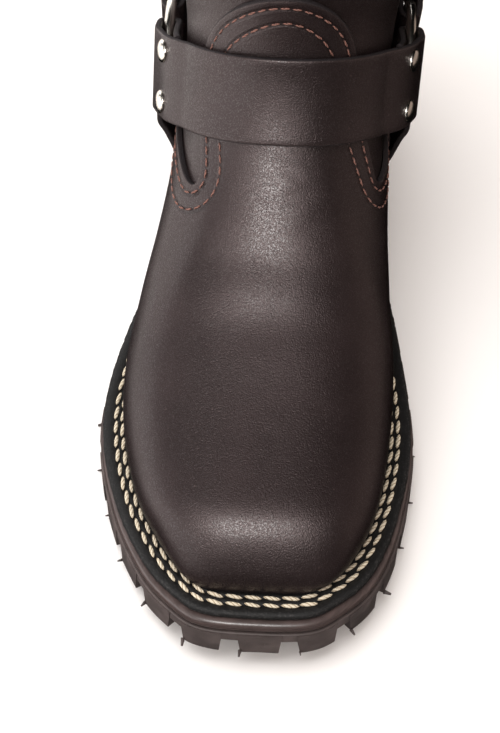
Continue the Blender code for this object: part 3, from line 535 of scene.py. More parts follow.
# Node trees

class Socket:
    """An output that joins in arithmetic: an expression adds its Math nodes."""

    def __init__(self, nodes, socket):
        self.nodes = nodes
        self.socket = socket

    def math(self, operation, *values):
        sockets = dict(enumerate(values))
        return self.nodes.node("ShaderNodeMath", {"operation": operation}, sockets)

    def __add__(self, other):
        return self.math("ADD", self, other)

    def __radd__(self, other):
        return self.math("ADD", other, self)

    def __sub__(self, other):
        return self.math("SUBTRACT", self, other)

    def __rsub__(self, other):
        return self.math("SUBTRACT", other, self)

    def __mul__(self, other):
        return self.math("MULTIPLY", self, other)

    def __rmul__(self, other):
        return self.math("MULTIPLY", other, self)

    def __abs__(self):
        return self.math("ABSOLUTE", self)

    def step(self, low, high):
        """Smooth step from 0 at low to 1 at high, or falling where high is under low."""
        settings = {"interpolation_type": "SMOOTHSTEP"}
        if low < high:
            return self.nodes.node("ShaderNodeMapRange", settings,
                                   {"Value": self, "From Min": low, "From Max": high})
        return 1.0 - self.step(high, low)

    def output(self, name):
        """Another output of the same node."""
        return Socket(self.nodes, self.socket.node.outputs[name])


class Nodes:
    """Adds nodes to a tree."""

    def __init__(self, tree):
        self.tree = tree

    def node(self, kind, settings=None, sockets=None):
        """Node of a type with its settings, then its socket values or links; gives its first output."""
        made = self.tree.nodes.new(kind)
        for key, value in (settings or {}).items():
            setattr(made, key, value)
        shown = [socket for socket in made.inputs if socket.enabled]
        for key, value in (sockets or {}).items():
            socket = shown[key] if isinstance(key, int) else next(s for s in shown if s.name == key)
            if isinstance(value, Socket):
                self.tree.links.new(value.socket, socket)
            else:
                socket.default_value = value
        outputs = [socket for socket in made.outputs if socket.enabled]
        return Socket(self, outputs[0]) if outputs else made


class Finish(Nodes):
    """A material with one Principled shader."""

    def __init__(self, name, **constants):
        self.material = bpy.data.materials.new(name)
        self.material.use_nodes = True
        super().__init__(self.material.node_tree)
        self.shader = self.tree.nodes["Principled BSDF"]
        for key, value in constants.items():
            self.set(key, value)
        self.place = self.node("ShaderNodeTexCoord").output("Object")

    def set(self, name, value):
        """Set a socket of the shader, its name in words joined by underscores."""
        socket = self.shader.inputs[name.replace("_", " ").title().replace("Ior", "IOR")]
        if isinstance(value, Socket):
            self.tree.links.new(value.socket, socket)
        else:
            socket.default_value = value

    def attribute(self, name):
        """A value that the piece's points carry."""
        return self.node("ShaderNodeAttribute", {"attribute_name": name}).output("Fac")

    def stretched(self, x, y, z):
        """Place on the piece, stretched along its axes."""
        return self.node("ShaderNodeMapping", None, {"Vector": self.place, "Scale": (x, y, z)})

    def noise(self, size, detail=2.0, rough=0.5, place=None):
        """Soft noise with features of a size in millimetres."""
        sockets = {"Vector": place or self.place, "Scale": 1.0 / (size * MM), "Detail": detail,
                   "Roughness": rough}
        return self.node("ShaderNodeTexNoise", None, sockets)

    def cells(self, size):
        """Distance within cells of a size in millimetres."""
        return self.node("ShaderNodeTexVoronoi", None, {"Vector": self.place, "Scale": 1.0 / (size * MM)})

    def mix(self, share, first, second):
        """Colour between two colours."""
        pair = [c if isinstance(c, Socket) else (*c[:3], 1.0) for c in (first, second)]
        return self.node("ShaderNodeMix", {"data_type": "RGBA"},
                         {"Factor": share, "A": pair[0], "B": pair[1]})

    def bump(self, height, depth, strength=1.0, over=None):
        """Normal of a height from 0 to 1 that stands for a depth in millimetres."""
        sockets = {"Height": height, "Distance": depth * MM, "Strength": strength}
        if over is not None:
            sockets["Normal"] = over
        return self.node("ShaderNodeBump", None, sockets)


def shade(colour, factor):
    """Colour made lighter or darker."""
    return tuple(min(channel * factor, 1.0) for channel in colour[:3])


# Finishes

def leather_finish(name, colours, seams=()):
    """Oiled leather with fine grain and a black raw cut, a painted highlight beside the cut and painted shade
    along the stitch grooves; seams are rows of stitches.
    """
    finish = Finish(name, specular_ior_level=0.5, specular_tint=(1.0, 0.80, 0.79, 1.0), coat_roughness=0.3)
    cloud = finish.noise(26.0, 3.0)
    fleck = finish.noise(0.75, 3.0, 0.6)
    dust = finish.cells(7.0)
    edge = finish.attribute("edge")
    base = finish.mix(cloud.step(0.35, 0.68), shade(colours.leather, 0.86), shade(colours.leather, 1.16))
    base = finish.mix(fleck.step(0.55, 0.80) * 0.35, base, colours.fleck_and_highlight)
    base = finish.mix(dust.step(0.055, 0.03) * 0.5, base, shade(colours.fleck_and_highlight, 2.2))
    seam = None
    for row in seams:
        near = abs(edge - row).step(1.5, 0.4)
        seam = near if seam is None else seam + near
    # painted shade: the leather is darkened along the grooves of its stitch rows, which the bump below also
    # dents
    if seam is not None:
        base = finish.mix(seam * 0.55, base, shade(colours.leather, 0.45))
    raw = edge.step(0.62, 0.30)
    # painted highlight: a lighter band just inside the raw cut, where the rounded edge catches the light
    edge_highlight = edge.step(1.5, 0.8) - raw
    base = finish.mix(edge_highlight * 0.35, base, colours.fleck_and_highlight)
    fibre = finish.noise(0.5, 4.0, 0.7)
    base = finish.mix(raw, base, finish.mix(fibre.step(0.35, 0.75), shade(colours.raw_edge, 0.5),
                                            shade(colours.raw_edge, 1.7)))
    finish.set("base_color", base)
    finish.set("roughness", 0.27 + cloud * 0.10 + fleck.step(0.3, 0.7) * 0.12 + raw * 0.35)
    pore = finish.noise(0.45, 2.0, 0.6)
    finish.set("coat_weight", (1.0 - raw) * (0.03 + pore.step(0.48, 0.70) * 0.9))
    grain = finish.bump(pore * 0.7 + finish.cells(0.7).step(0.05, 0.6) * 0.2, 0.27, 0.8)
    grain = finish.bump(finish.noise(5.0, 2.0), 0.10, 0.35, grain)
    grain = finish.bump(raw * fibre, 0.35, 0.9, grain)
    if seam is not None:
        grain = finish.bump(1.0 - seam, 0.30, 0.8, grain)
    finish.set("normal", grain)
    return finish.material


def welt_finish(colours):
    """Black welt leather with a fibrous surface; its fibres along the ledge's edge are lightened as a painted
    highlight.
    """
    finish = Finish("welt leather", specular_ior_level=0.4)
    fibre = finish.noise(0.9, 4.0, 0.7)
    blotch = finish.noise(6.0, 3.0)
    rim = finish.attribute("edge").step(2.4, 0.4)
    base = finish.mix(fibre.step(0.48, 0.78), shade(colours.welt, 0.6), shade(colours.welt, 2.0))
    # painted highlight: the fibres along the ledge's rounded edge are made lighter
    base = finish.mix(rim * fibre.step(0.5, 0.7) * 0.6, base, shade(colours.welt, 4.5))
    finish.set("base_color", base)
    finish.set("roughness", 0.46 + blotch * 0.16 + rim * 0.15)
    coarse = finish.bump(fibre, 0.30, 0.7)
    finish.set("normal", finish.bump(blotch, 0.30, 0.5, coarse))
    return finish.material


def midsole_finish(colours):
    """Burnished sole leather: fine layers run along its edge."""
    finish = Finish("burnished midsole", specular_ior_level=0.5, coat_roughness=0.25)
    layers = finish.noise(3.0, 4.0, 0.65, finish.stretched(0.35, 0.35, 6.0))
    blotch = finish.noise(13.0, 3.0)
    fibre = finish.noise(0.6, 3.0)
    base = finish.mix(layers.step(0.35, 0.7), shade(colours.midsole, 0.72), shade(colours.midsole, 1.18))
    base = finish.mix(blotch.step(0.5, 0.75) * 0.4, base, shade(colours.midsole, 0.62))
    finish.set("base_color", base)
    finish.set("roughness", 0.30 + blotch * 0.12 + fibre * 0.06)
    finish.set("coat_weight", 0.18 + layers * 0.12)
    finish.set("normal", finish.bump(fibre, 0.08, 0.5, finish.bump(layers, 0.18, 0.5)))
    return finish.material


def rubber_finish(colours):
    """Moulded rubber, matt, with scuffs."""
    finish = Finish("moulded rubber", specular_ior_level=0.42)
    blotch = finish.noise(9.0, 4.0, 0.6)
    pit = finish.noise(0.7, 3.0, 0.6)
    scuff = finish.noise(2.4, 4.0, 0.7, finish.stretched(1.0, 1.0, 0.3))
    base = finish.mix(blotch.step(0.35, 0.7), shade(colours.rubber, 0.78), shade(colours.rubber, 1.2))
    base = finish.mix(scuff.step(0.60, 0.78) * 0.4, base, shade(colours.rubber, 2.2))
    finish.set("base_color", base)
    finish.set("roughness", 0.50 + blotch * 0.14 + pit * 0.06)
    finish.set("normal", finish.bump(pit, 0.10, 0.55, finish.bump(blotch, 0.25, 0.3)))
    return finish.material


def thread_finish(name, colour, deep, plies):
    """Twisted thread: its plies slant across each stitch, which is darker in its twist and at its ends, both
    painted shade.
    """
    finish = Finish(name, specular_ior_level=0.35)
    along = finish.attribute("along")
    across = finish.attribute("across")
    turn = (along * plies + across * 1.1) * math.tau
    ply = turn.math("SINE", turn) * 0.5 + 0.5
    fuzz = finish.noise(0.35, 3.0, 0.7)
    tone = finish.noise(9.0, 2.0)
    ends = abs(along).step(0.30, 0.50)
    # painted shade: the valleys of the twist take the darker colour
    base = finish.mix(ply.step(0.0, 0.45), deep, colour)
    base = finish.mix(tone.step(0.45, 0.70) * 0.35, base, shade(colour, 0.72))
    # painted shade: each stitch darkens towards its ends, where it sinks into the leather
    base = finish.mix(ends * 0.75, base, deep)
    finish.set("base_color", base)
    finish.set("roughness", 0.55 + fuzz * 0.2)
    finish.set("normal", finish.bump(fuzz, 0.10, 0.6, finish.bump(ply, 0.22, 0.8)))
    return finish.material


def nickel_finish(colours):
    """Polished nickel plate with a little tarnish."""
    finish = Finish("nickel plate", metallic=1.0)
    tarnish = finish.noise(3.0, 4.0, 0.6)
    scratch = finish.noise(0.8, 3.0, 0.7, finish.stretched(1.0, 0.2, 1.0))
    base = finish.mix(tarnish.step(0.45, 0.75) * 0.5, colours.nickel, shade(colours.nickel, 0.70))
    finish.set("base_color", base)
    finish.set("roughness", 0.16 + tarnish * 0.14)
    finish.set("normal", finish.bump(scratch, 0.02, 0.4))
    return finish.material


def board_finish(colours):
    """Plain tan insole leather."""
    finish = Finish("insole leather", specular_ior_level=0.3)
    cloud = finish.noise(18.0, 3.0)
    nap = finish.noise(0.8, 3.0, 0.65)
    base = finish.mix(cloud.step(0.35, 0.7), shade(colours.board, 0.8), shade(colours.board, 1.12))
    finish.set("base_color", finish.mix(nap.step(0.55, 0.8) * 0.3, base, shade(colours.board, 0.6)))
    finish.set("roughness", 0.66 + nap * 0.16)
    finish.set("normal", finish.bump(nap, 0.12, 0.6))
    return finish.material


# Geometry trees

class Maker(Nodes):
    """A geometry tree with named inputs."""

    KINDS = {float: "NodeSocketFloat", int: "NodeSocketInt", bpy.types.Material: "NodeSocketMaterial"}

    def __init__(self, name, inputs):
        super().__init__(bpy.data.node_groups.new(name, "GeometryNodeTree"))
        face = self.tree.interface
        face.new_socket("Geometry", in_out="INPUT", socket_type="NodeSocketGeometry")
        for key, kind in inputs.items():
            face.new_socket(key, in_out="INPUT", socket_type=self.KINDS[kind])
        face.new_socket("Geometry", in_out="OUTPUT", socket_type="NodeSocketGeometry")
        self.given = self.node("NodeGroupInput")

    def input(self, name):
        """One of the tree's own inputs."""
        return self.given.output(name)

    def end(self, **sockets):
        """Put copies on points, realize them, give them their material and send them out."""
        copies = self.node("GeometryNodeInstanceOnPoints", None, sockets)
        solid = self.node("GeometryNodeRealizeInstances", None, {"Geometry": copies})
        soft = self.node("GeometryNodeSetShadeSmooth", None, {"Geometry": solid})
        done = self.node("GeometryNodeSetMaterial", None,
                         {"Geometry": soft, "Material": self.input("Material")})
        self.node("NodeGroupOutput", None, {"Geometry": done})
        return self.tree

    def named(self, name):
        """Vector that the points carry."""
        return self.node("GeometryNodeInputNamedAttribute", {"data_type": "FLOAT_VECTOR"}, {"Name": name})

    def keep(self, geometry, name, value):
        """Store a value on the points."""
        return self.node("GeometryNodeStoreNamedAttribute", {"data_type": "FLOAT", "domain": "POINT"},
                         {"Geometry": geometry, "Name": name, "Value": value})

    def vector(self, x, y, z):
        """Vector of three values."""
        return self.node("ShaderNodeCombineXYZ", None, {"X": x, "Y": y, "Z": z})

    def upright(self, normal, along):
        """Turn that stands Z along a normal and X along a way."""
        return self.node("FunctionNodeAxesToRotation", {"primary_axis": "Z", "secondary_axis": "X"},
                         {"Primary Axis": normal, "Secondary Axis": along})

    def tilted(self, turn, angles):
        """Turn with a further turn about its own axes."""
        lean = self.node("FunctionNodeEulerToRotation", None, {"Euler": angles})
        return self.node("FunctionNodeRotateRotation", {"rotation_space": "LOCAL"},
                         {"Rotation": turn, "Rotate By": lean})

    def chance(self, low, high, seed, kind="FLOAT"):
        """Random value between two bounds."""
        return self.node("FunctionNodeRandomValue", {"data_type": kind},
                         {"Min": low, "Max": high, "Seed": seed})


def stitch_tree():
    """Stitches along a row: plump threads that lean a little across it."""
    maker = Maker("stitch row", {"Pitch": float, "Length": float, "Width": float, "Height": float,
                                 "Lean": float, "Spread": float, "Seed": int, "Material": bpy.types.Material})
    curve = maker.node("GeometryNodeMeshToCurve", None, {"Mesh": maker.input("Geometry")})
    row = maker.node("GeometryNodeResampleCurve", {"mode": "LENGTH"},
                     {"Curve": curve, "Length": maker.input("Pitch")})
    ball = maker.node("GeometryNodeMeshUVSphere", None, {"Segments": 8, "Rings": 7, "Radius": 0.5})
    axes = maker.node("ShaderNodeSeparateXYZ", None, {"Vector": maker.node("GeometryNodeInputPosition")})
    thread = maker.keep(ball, "along", axes.output("X"))
    thread = maker.keep(thread, "across", axes.output("Y"))
    size = maker.vector(maker.input("Length"), maker.input("Width"), maker.input("Height"))
    thread = maker.node("GeometryNodeTransform", None, {"Geometry": thread, "Scale": size})
    turn = maker.upright(maker.named("lift"), maker.node("GeometryNodeInputTangent"))
    spread = maker.input("Spread")
    swing = maker.chance(-1.0 * spread, spread, maker.input("Seed"))
    turn = maker.tilted(turn, maker.vector(0.0, 0.0, maker.input("Lean") + swing))
    plump = maker.chance(0.93, 1.05, maker.input("Seed") + 1)
    return maker.end(Points=row, Instance=thread, Rotation=turn, Scale=plump)


def cap_tree():
    """Domed rivet caps on points."""
    maker = Maker("rivet caps", {"Radius": float, "Height": float, "Material": bpy.types.Material})
    points = maker.node("GeometryNodeMeshToPoints", None, {"Mesh": maker.input("Geometry")})
    ball = maker.node("GeometryNodeMeshUVSphere", None, {"Segments": 28, "Rings": 16, "Radius": 1.0})
    radius = maker.input("Radius")
    cap = maker.node("GeometryNodeTransform", None,
                     {"Geometry": ball, "Scale": maker.vector(radius, radius, maker.input("Height"))})
    turn = maker.upright(maker.named("lift"), maker.named("way"))
    return maker.end(Points=points, Instance=cap, Rotation=turn)


def flash_tree():
    """Thin shreds of moulding flash on lug corners."""
    maker = Maker("moulding flash", {"Length": float, "Width": float, "Thickness": float, "Seed": int,
                                     "Material": bpy.types.Material})
    points = maker.node("GeometryNodeMeshToPoints", None, {"Mesh": maker.input("Geometry")})
    cone = maker.node("GeometryNodeMeshCone", {"fill_type": "TRIANGLE_FAN"},
                      {"Vertices": 5, "Side Segments": 2, "Radius Top": 0.28, "Radius Bottom": 0.6,
                       "Depth": 1.0})
    size = maker.vector(maker.input("Thickness"), maker.input("Width"), maker.input("Length"))
    shred = maker.node("GeometryNodeTransform", None, {"Geometry": cone, "Scale": size})
    turn = maker.upright(maker.named("lift"), maker.named("way"))
    swing = maker.chance((-0.25, -0.30, 0.0), (0.25, 0.30, 0.0), maker.input("Seed"), "FLOAT_VECTOR")
    turn = maker.tilted(turn, swing)
    scale = maker.chance(0.5, 1.2, maker.input("Seed") + 2)
    return maker.end(Points=points, Instance=shred, Rotation=turn, Scale=scale)


def grown(name, tree, rows, inputs):
    """Piece that a geometry tree grows on rows of points with their vectors; a row is an edge path."""
    points, edges, vectors = [], [], {}
    for row, closed, carried in rows:
        start = len(points)
        points += list(row)
        if closed is not None:
            count = len(row)
            steps = count if closed else count - 1
            edges += [(start + k, start + (k + 1) % count) for k in range(steps)]
        for key, values in carried.items():
            vectors.setdefault(key, []).append(values)
    mesh = bpy.data.meshes.new(name)
    mesh.from_pydata((np.array(points) + SHIFT) * MM, edges, [])
    for key, values in vectors.items():
        layer = mesh.attributes.new(key, "FLOAT_VECTOR", "POINT")
        layer.data.foreach_set("vector", np.concatenate(values).astype(np.float32).ravel())
    piece = add_piece(name, mesh)
    modifier = piece.modifiers.new(name, "NODES")
    modifier.node_group = tree
    for item in tree.interface.items_tree:
        if item.in_out == "INPUT" and item.name in inputs:
            modifier[item.identifier] = inputs[item.name]
    return plain_mesh(piece)


def sew(name, rows, seed, finish, pitch, share, thread, lean):
    """Stitches along rows of points, each a share of the pitch long."""
    inputs = {"Pitch": pitch, "Length": pitch * share, "Width": thread, "Height": thread * THREAD_FLAT,
              "Lean": lean, "Spread": STITCH_SPREAD, "Seed": seed, "Material": finish}
    settle(grown(name, stitch_tree(), rows, inputs))


# Leather sheets

def inside_vamp(point):
    """Positive where the vamp covers a point, zero on its edge."""
    x, y, z = np.moveaxis(np.asarray(point, float), -1, 0)
    quarter = QUARTER_Z + QUARTER_RISE * (y - QUARTER_START) + QUARTER_TILT * x - z
    rise = np.clip((z - TONGUE_SPRING) / (TONGUE_TOP - TONGUE_SPRING), 0.0, None)
    half = np.where(rise > 1.0, TONGUE_TOP - z, TONGUE_HALF * np.sqrt(np.clip(1.0 - rise ** 2, 0.0, 1.0)))
    aside = x - TONGUE_X - TONGUE_LEAN * np.maximum(z - TONGUE_SPRING, 0.0)
    flare = np.where(aside > 0.0, TONGUE_FLARE[1], TONGUE_FLARE[-1]) * np.maximum(TONGUE_SPRING - z, 0.0)
    tongue = half + flare - np.abs(aside)
    overlap = np.clip(NOTCH_ROUND - np.abs(tongue - quarter), 0.0, None)
    both = np.maximum(tongue, quarter) + overlap ** 2 / (4.0 * NOTCH_ROUND)
    return np.where(y > TONGUE_BACK, quarter, both)


def flat_sheet(rows, columns):
    """Sheet in skin places: x is the row, y the column."""
    bm = bmesh.new()
    verts = [[bm.verts.new((u, v, 0.0)) for v in columns] for u in rows]
    for near, far in zip(verts, verts[1:]):
        for j in range(len(columns) - 1):
            bm.faces.new((near[j], near[j + 1], far[j + 1], far[j]))
    return bm


def places(bm):
    """Skin rows and columns of a flat sheet's points."""
    bm.verts.index_update()
    spots = np.array([vert.co[:2] for vert in bm.verts], float)
    return spots[:, 0], spots[:, 1]


def cut_sheet(bm, inside, band, cuts):
    """Cut a flat sheet along inside = 0, with finer faces in a band beside the cut."""
    value = inside(sample(SKIN, *places(bm)))
    lost = [face for face in bm.faces if max(value[vert.index] for vert in face.verts) < -band]
    bmesh.ops.delete(bm, geom=lost, context="FACES")
    value = inside(sample(SKIN, *places(bm)))
    near = [edge for edge in bm.edges if max(abs(value[vert.index]) for vert in edge.verts) < band]
    bmesh.ops.subdivide_edges(bm, edges=near, cuts=cuts, use_grid_fill=True)
    bmesh.ops.triangulate(bm, faces=bm.faces)
    value = inside(sample(SKIN, *places(bm)))
    crossed = [edge for edge in bm.edges if value[edge.verts[0].index] * value[edge.verts[1].index] < 0.0]
    first = np.array([edge.verts[0].co[:2] for edge in crossed])
    second = np.array([edge.verts[1].co[:2] for edge in crossed])
    sign = np.sign(inside(sample(SKIN, *first.T)))
    low, high = np.zeros(len(crossed)), np.ones(len(crossed))
    for _ in range(CUT_HALVINGS):
        middle = (low + high) / 2.0
        same = inside(sample(SKIN, *(first + (second - first) * middle[:, None]).T)) * sign > 0.0
        low, high = np.where(same, middle, low), np.where(same, high, middle)
    mark = bm.verts.layers.int.new("cut")
    fresh = []
    for edge, share in zip(crossed, low):
        vert = bmesh.utils.edge_split(edge, edge.verts[0], share)[1]
        vert[mark] = 1
        fresh.append(vert)
    bmesh.ops.connect_verts(bm, verts=fresh)
    centres = np.array([face.calc_center_median()[:2] for face in bm.faces])
    keep = inside(sample(SKIN, *centres.T)) > 0.0
    bmesh.ops.delete(bm, geom=[face for face, kept in zip(bm.faces, keep) if not kept], context="FACES")
    return bm


class Sheet:
    """Points, outward ways and faces of a sheet that lies on the skin, its back seam closed."""

    def __init__(self, bm):
        mark = bm.verts.layers.int.get("cut")
        points, ways = skin_at(*places(bm))
        way = bm.verts.layers.float_vector.new("way")
        for vert, point, out in zip(bm.verts, points, ways):
            vert.co = Vector(point)
            vert[way] = Vector(out)
        bmesh.ops.remove_doubles(bm, verts=bm.verts, dist=WELD)
        bm.verts.index_update()
        self.points = np.array([vert.co for vert in bm.verts], float)
        self.ways = np.array([vert[way] for vert in bm.verts], float)
        self.faces = [[vert.index for vert in face.verts] for face in bm.faces]
        self.cut = np.array([vert[mark] if mark else 0 for vert in bm.verts], bool)
        loops = [edge.link_loops[0] for edge in bm.edges if edge.is_boundary]
        self.rims = [(loop.vert.index, loop.link_loop_next.vert.index) for loop in loops]
        bm.free()

    def wall(self, outer, inner):
        """Points and faces of the closed wall between two lifts of the sheet."""
        count = len(self.points)
        lifts = [np.reshape(lift, (-1, 1)) for lift in (outer, inner)]
        points = np.concatenate([self.points + self.ways * lift for lift in lifts])
        faces = self.faces + [[count + k for k in reversed(face)] for face in self.faces]
        faces += [(b, a, a + count, b + count) for a, b in self.rims]
        return points, faces

    def cut_line(self):
        """The cut as one closed row of points."""
        follow = dict(self.rims)
        start = int(np.flatnonzero(self.cut)[0])
        row = [start]
        while follow[row[-1]] != start:
            row.append(follow[row[-1]])
        return self.points[row]


def creased(points):
    """Lift of the vamp's soft creases, troughs with a low ridge beside them."""
    lift = np.zeros(len(points))
    for row in CREASES.values():
        size = dict(zip(CREASE_COLUMNS, row))
        turn = math.radians(size["degrees"])
        x, y = points[:, 0] - size["x"], points[:, 1] - size["y"]
        along = (x * math.cos(turn) + y * math.sin(turn)) / size["long"]
        across = (y * math.cos(turn) - x * math.sin(turn)) / size["wide"]
        fade = np.exp(-along ** 2 * CREASE_FADE) * ease((points[:, 2] - CREASE_FOOT) / CREASE_RISE)
        ridge = CREASE_RIDGE * np.exp(-(np.abs(across) - CREASE_RIDGE_AT) ** 2)
        lift -= size["deep"] * fade * (np.exp(-across ** 2) - ridge)
    return lift


def edge_distance(points, line):
    """Distance of points from a closed line, as far as it counts."""
    tree = KDTree(len(line))
    for k, point in enumerate(line):
        tree.insert(point, k)
    tree.balance()
    return np.minimum([tree.find(point)[2] for point in points], EDGE_FAR)


def rounded(distance, radius):
    """How far a rounded edge falls away at a distance from it."""
    rest = np.clip(radius - distance, 0.0, radius)
    return radius - np.sqrt(radius ** 2 - rest ** 2)


SKIN_TREE = BVHTree.FromPolygons([Vector(point) for point in SKIN.reshape(-1, 3)],
                                 grid_faces(*SKIN.shape[:2]))


def on_skin(points, lift):
    """Nearest points of the skin with a lift, and their outward ways."""
    found, ways = [], []
    for point in points:
        spot, way = SKIN_TREE.find_nearest(Vector(point))[:2]
        found.append(np.array(spot) + np.array(way) * lift)
        ways.append(np.array(way))
    return np.array(found), np.array(ways)


def even_ring(row, step):
    """Closed row of points at even steps."""
    loop = np.concatenate([row, row[:1]])
    length = np.linalg.norm(np.diff(loop, axis=0), axis=1).sum()
    return even(loop, int(length / step))[:-1]


def beside_line(line, distance, inside):
    """Closed row on the skin at a distance beside a closed line, on the side where inside is positive."""
    spots, ways = on_skin(even_ring(line, LINE_STEP), 0.0)
    run = smooth_ring(np.roll(spots, -1, axis=0) - np.roll(spots, 1, axis=0), WAY_SOFT)
    into = np.cross(ways, run)
    into /= np.linalg.norm(into, axis=1, keepdims=True)
    if np.median(inside(spots + into * PROBE)) < 0.0:
        into = -into
    return even_ring(on_skin(smooth_ring(spots + into * distance, ROW_SOFT), 0.0)[0], ROW_STEP)


# Sole

def tread(y):
    """Height of the lugs' faces, flat on the floor under the ball."""
    return np.maximum(foot_line(y) + OUTSOLE_BOTTOM - LUG, 0.0)


def level(height):
    """Height that is the same all along the foot."""
    return lambda y: 0.0 * y + height


def widths_at(line, y):
    """Lateral and medial x of an outline at a place along the foot."""
    back = int(np.argmax(line[:, 1]))
    line = np.roll(line, -back, axis=0)
    toe = int(np.argmin(line[:, 1]))
    lateral = line[:toe + 1][::-1]
    medial = np.concatenate([line[toe:], line[:1]])
    return np.interp(y, lateral[:, 1], lateral[:, 0]), np.interp(y, medial[:, 1], medial[:, 0])


def prism(bm, outlines, heights):
    """Add a closed prism through plan outlines at heights that follow the foot."""
    rows = []
    for outline, height in zip(outlines, heights):
        z = height(outline[:, 1])
        rows.append([bm.verts.new(Vector((np.array([*p, h]) + SHIFT) * MM)) for p, h in zip(outline, z)])
    count = len(rows[0])
    for near, far in zip(rows, rows[1:]):
        for a in range(count):
            b = (a + 1) % count
            bm.faces.new((near[a], near[b], far[b], far[a]))
    bm.faces.new(rows[0][::-1])
    bm.faces.new(rows[-1])


def drawn_in(outline, amount):
    """Outline drawn in towards its middle."""
    middle = outline.mean(axis=0)
    away = outline - middle
    reach = np.linalg.norm(away, axis=1, keepdims=True)
    return middle + away * (1.0 - amount / reach)


def lug_levels(outline, foot, roof, floor):
    """Outlines and heights of a lug: sides that lean in, then a small chamfer to its face."""
    inset, rise = LUG_CHAMFER_BEND
    outlines = [outline, foot, drawn_in(foot, inset), drawn_in(foot, LUG_CHAMFER)]
    return outlines, [roof, lambda y: floor(y) + LUG_CHAMFER, lambda y: floor(y) + rise, floor]


def rim_lugs(bm, line, depths, keep, roof, floor):
    """Lugs along the rim of an outline where keep(point) is true; gives an outer lower corner of each."""
    closed = np.concatenate([line, line[:1]])
    length = np.concatenate([[0.0], np.cumsum(np.linalg.norm(np.diff(closed, axis=0), axis=1))])
    count = int(length[-1] // LUG_PITCH)
    pitch = length[-1] / count
    half = (pitch - LUG_GROOVE) / 2.0
    toe = length[int(np.argmin(line[:, 1]))]
    corners = []

    def at(s):
        s = np.mod(s, length[-1])
        return np.stack([np.interp(s, length, column) for column in closed.T], -1)

    for k in range(count):
        s = toe + k * pitch
        middle = at(s)
        if not keep(middle):
            continue
        run = at(s + half) - at(s - half)
        into = np.array([-run[1], run[0]]) / np.linalg.norm(run)
        bend = np.linalg.norm(at(s + pitch) + at(s - pitch) - 2.0 * middle) / pitch ** 2
        reach = min(depths[k % 2], LUG_ROOM / max(bend, LEAST_BEND))
        narrow = LUG_TAPER / 2.0 * (1.0 - bend * reach)
        inner = middle + into * reach + np.outer([narrow, -narrow], run)
        shares = np.linspace(-1.0, 1.0, LUG_RIM_POINTS)
        spans = [np.concatenate([at(s + span * shares) - into * LUG_PROUD, inner])
                 for span in (half, half - LUG_DRAFT)]
        prism(bm, *lug_levels(*spans, roof, floor))
        spot = spans[1][0]
        corners.append((np.array([*spot, float(floor(spot[1])) + FLASH_RISE]), -into))
    return corners


def middle_lugs(bm, line, depths, rows, roof, floor):
    """Pairs of six-sided lugs down the middle of the tread."""
    wide, narrow = MIDDLE_LUG_X
    corners = ((-wide, 0), (-narrow, -1), (narrow, -1), (wide, 0), (narrow, 1), (-narrow, 1))
    shape = np.array([(x, end * MIDDLE_LUG_Y) for x, end in corners])
    for k, y in enumerate(rows):
        left, right = (float(x) for x in widths_at(line, y))
        room = right - left - 2.0 * max(depths)
        sides = (-1, 1) if room > PAIR_ROOM else (0,) if room > SINGLE_ROOM else ()
        for side in sides:
            place = ((left + right) / 2.0 + side * MIDDLE_LUG_SHIFT,
                     y + (k % 2) * side * MIDDLE_LUG_STAGGER)
            foot = drawn_in(shape, MIDDLE_LUG_DRAFT) + place
            prism(bm, *lug_levels(shape + place, foot, roof, floor))


def with_lugs(name, slab, lugs, finish):
    """Slab united with its lugs, as one plain mesh."""
    bmesh.ops.recalc_face_normals(lugs, faces=lugs.faces)
    mesh = bpy.data.meshes.new(name + "_lugs")
    lugs.to_mesh(mesh)
    lugs.free()
    tool = add_piece(name + "_lugs", mesh)
    piece = add_piece(name, slab, finish)
    union = piece.modifiers.new("lugs", "BOOLEAN")
    union.operation = "UNION"
    union.solver = "EXACT"
    union.object = tool
    plain_mesh(piece)
    bpy.data.objects.remove(tool)
    piece.data.shade_smooth()
    piece.data.set_sharp_from_angle(angle=math.radians(LUG_SHARP))
    return piece


# Harness

def skin_point(start, way):
    """Where a line meets the skin."""
    found = SKIN_TREE.ray_cast(Vector(start), Vector(way))[0]
    if found is None:
        raise RuntimeError(f"no skin from {tuple(start)} towards {tuple(way)}")
    return np.array(found)


def beside(side, y, z):
    """Point of the skin seen straight from one side."""
    return skin_point((FAR * side, y, z), (-side, 0.0, 0.0))


def ring_place(side):
    """Centre of a ring and the outward normal of its plane."""
    span = RING_R / 2.0
    along = beside(side, RING_Y + span, RING_Z) - beside(side, RING_Y - span, RING_Z)
    up = beside(side, RING_Y, RING_Z + span) - beside(side, RING_Y, RING_Z - span)
    normal = np.cross(along, up)
    normal *= np.sign(normal[0]) * side / np.linalg.norm(normal)
    return beside(side, RING_Y, RING_Z) + normal * RING_LIFT, normal


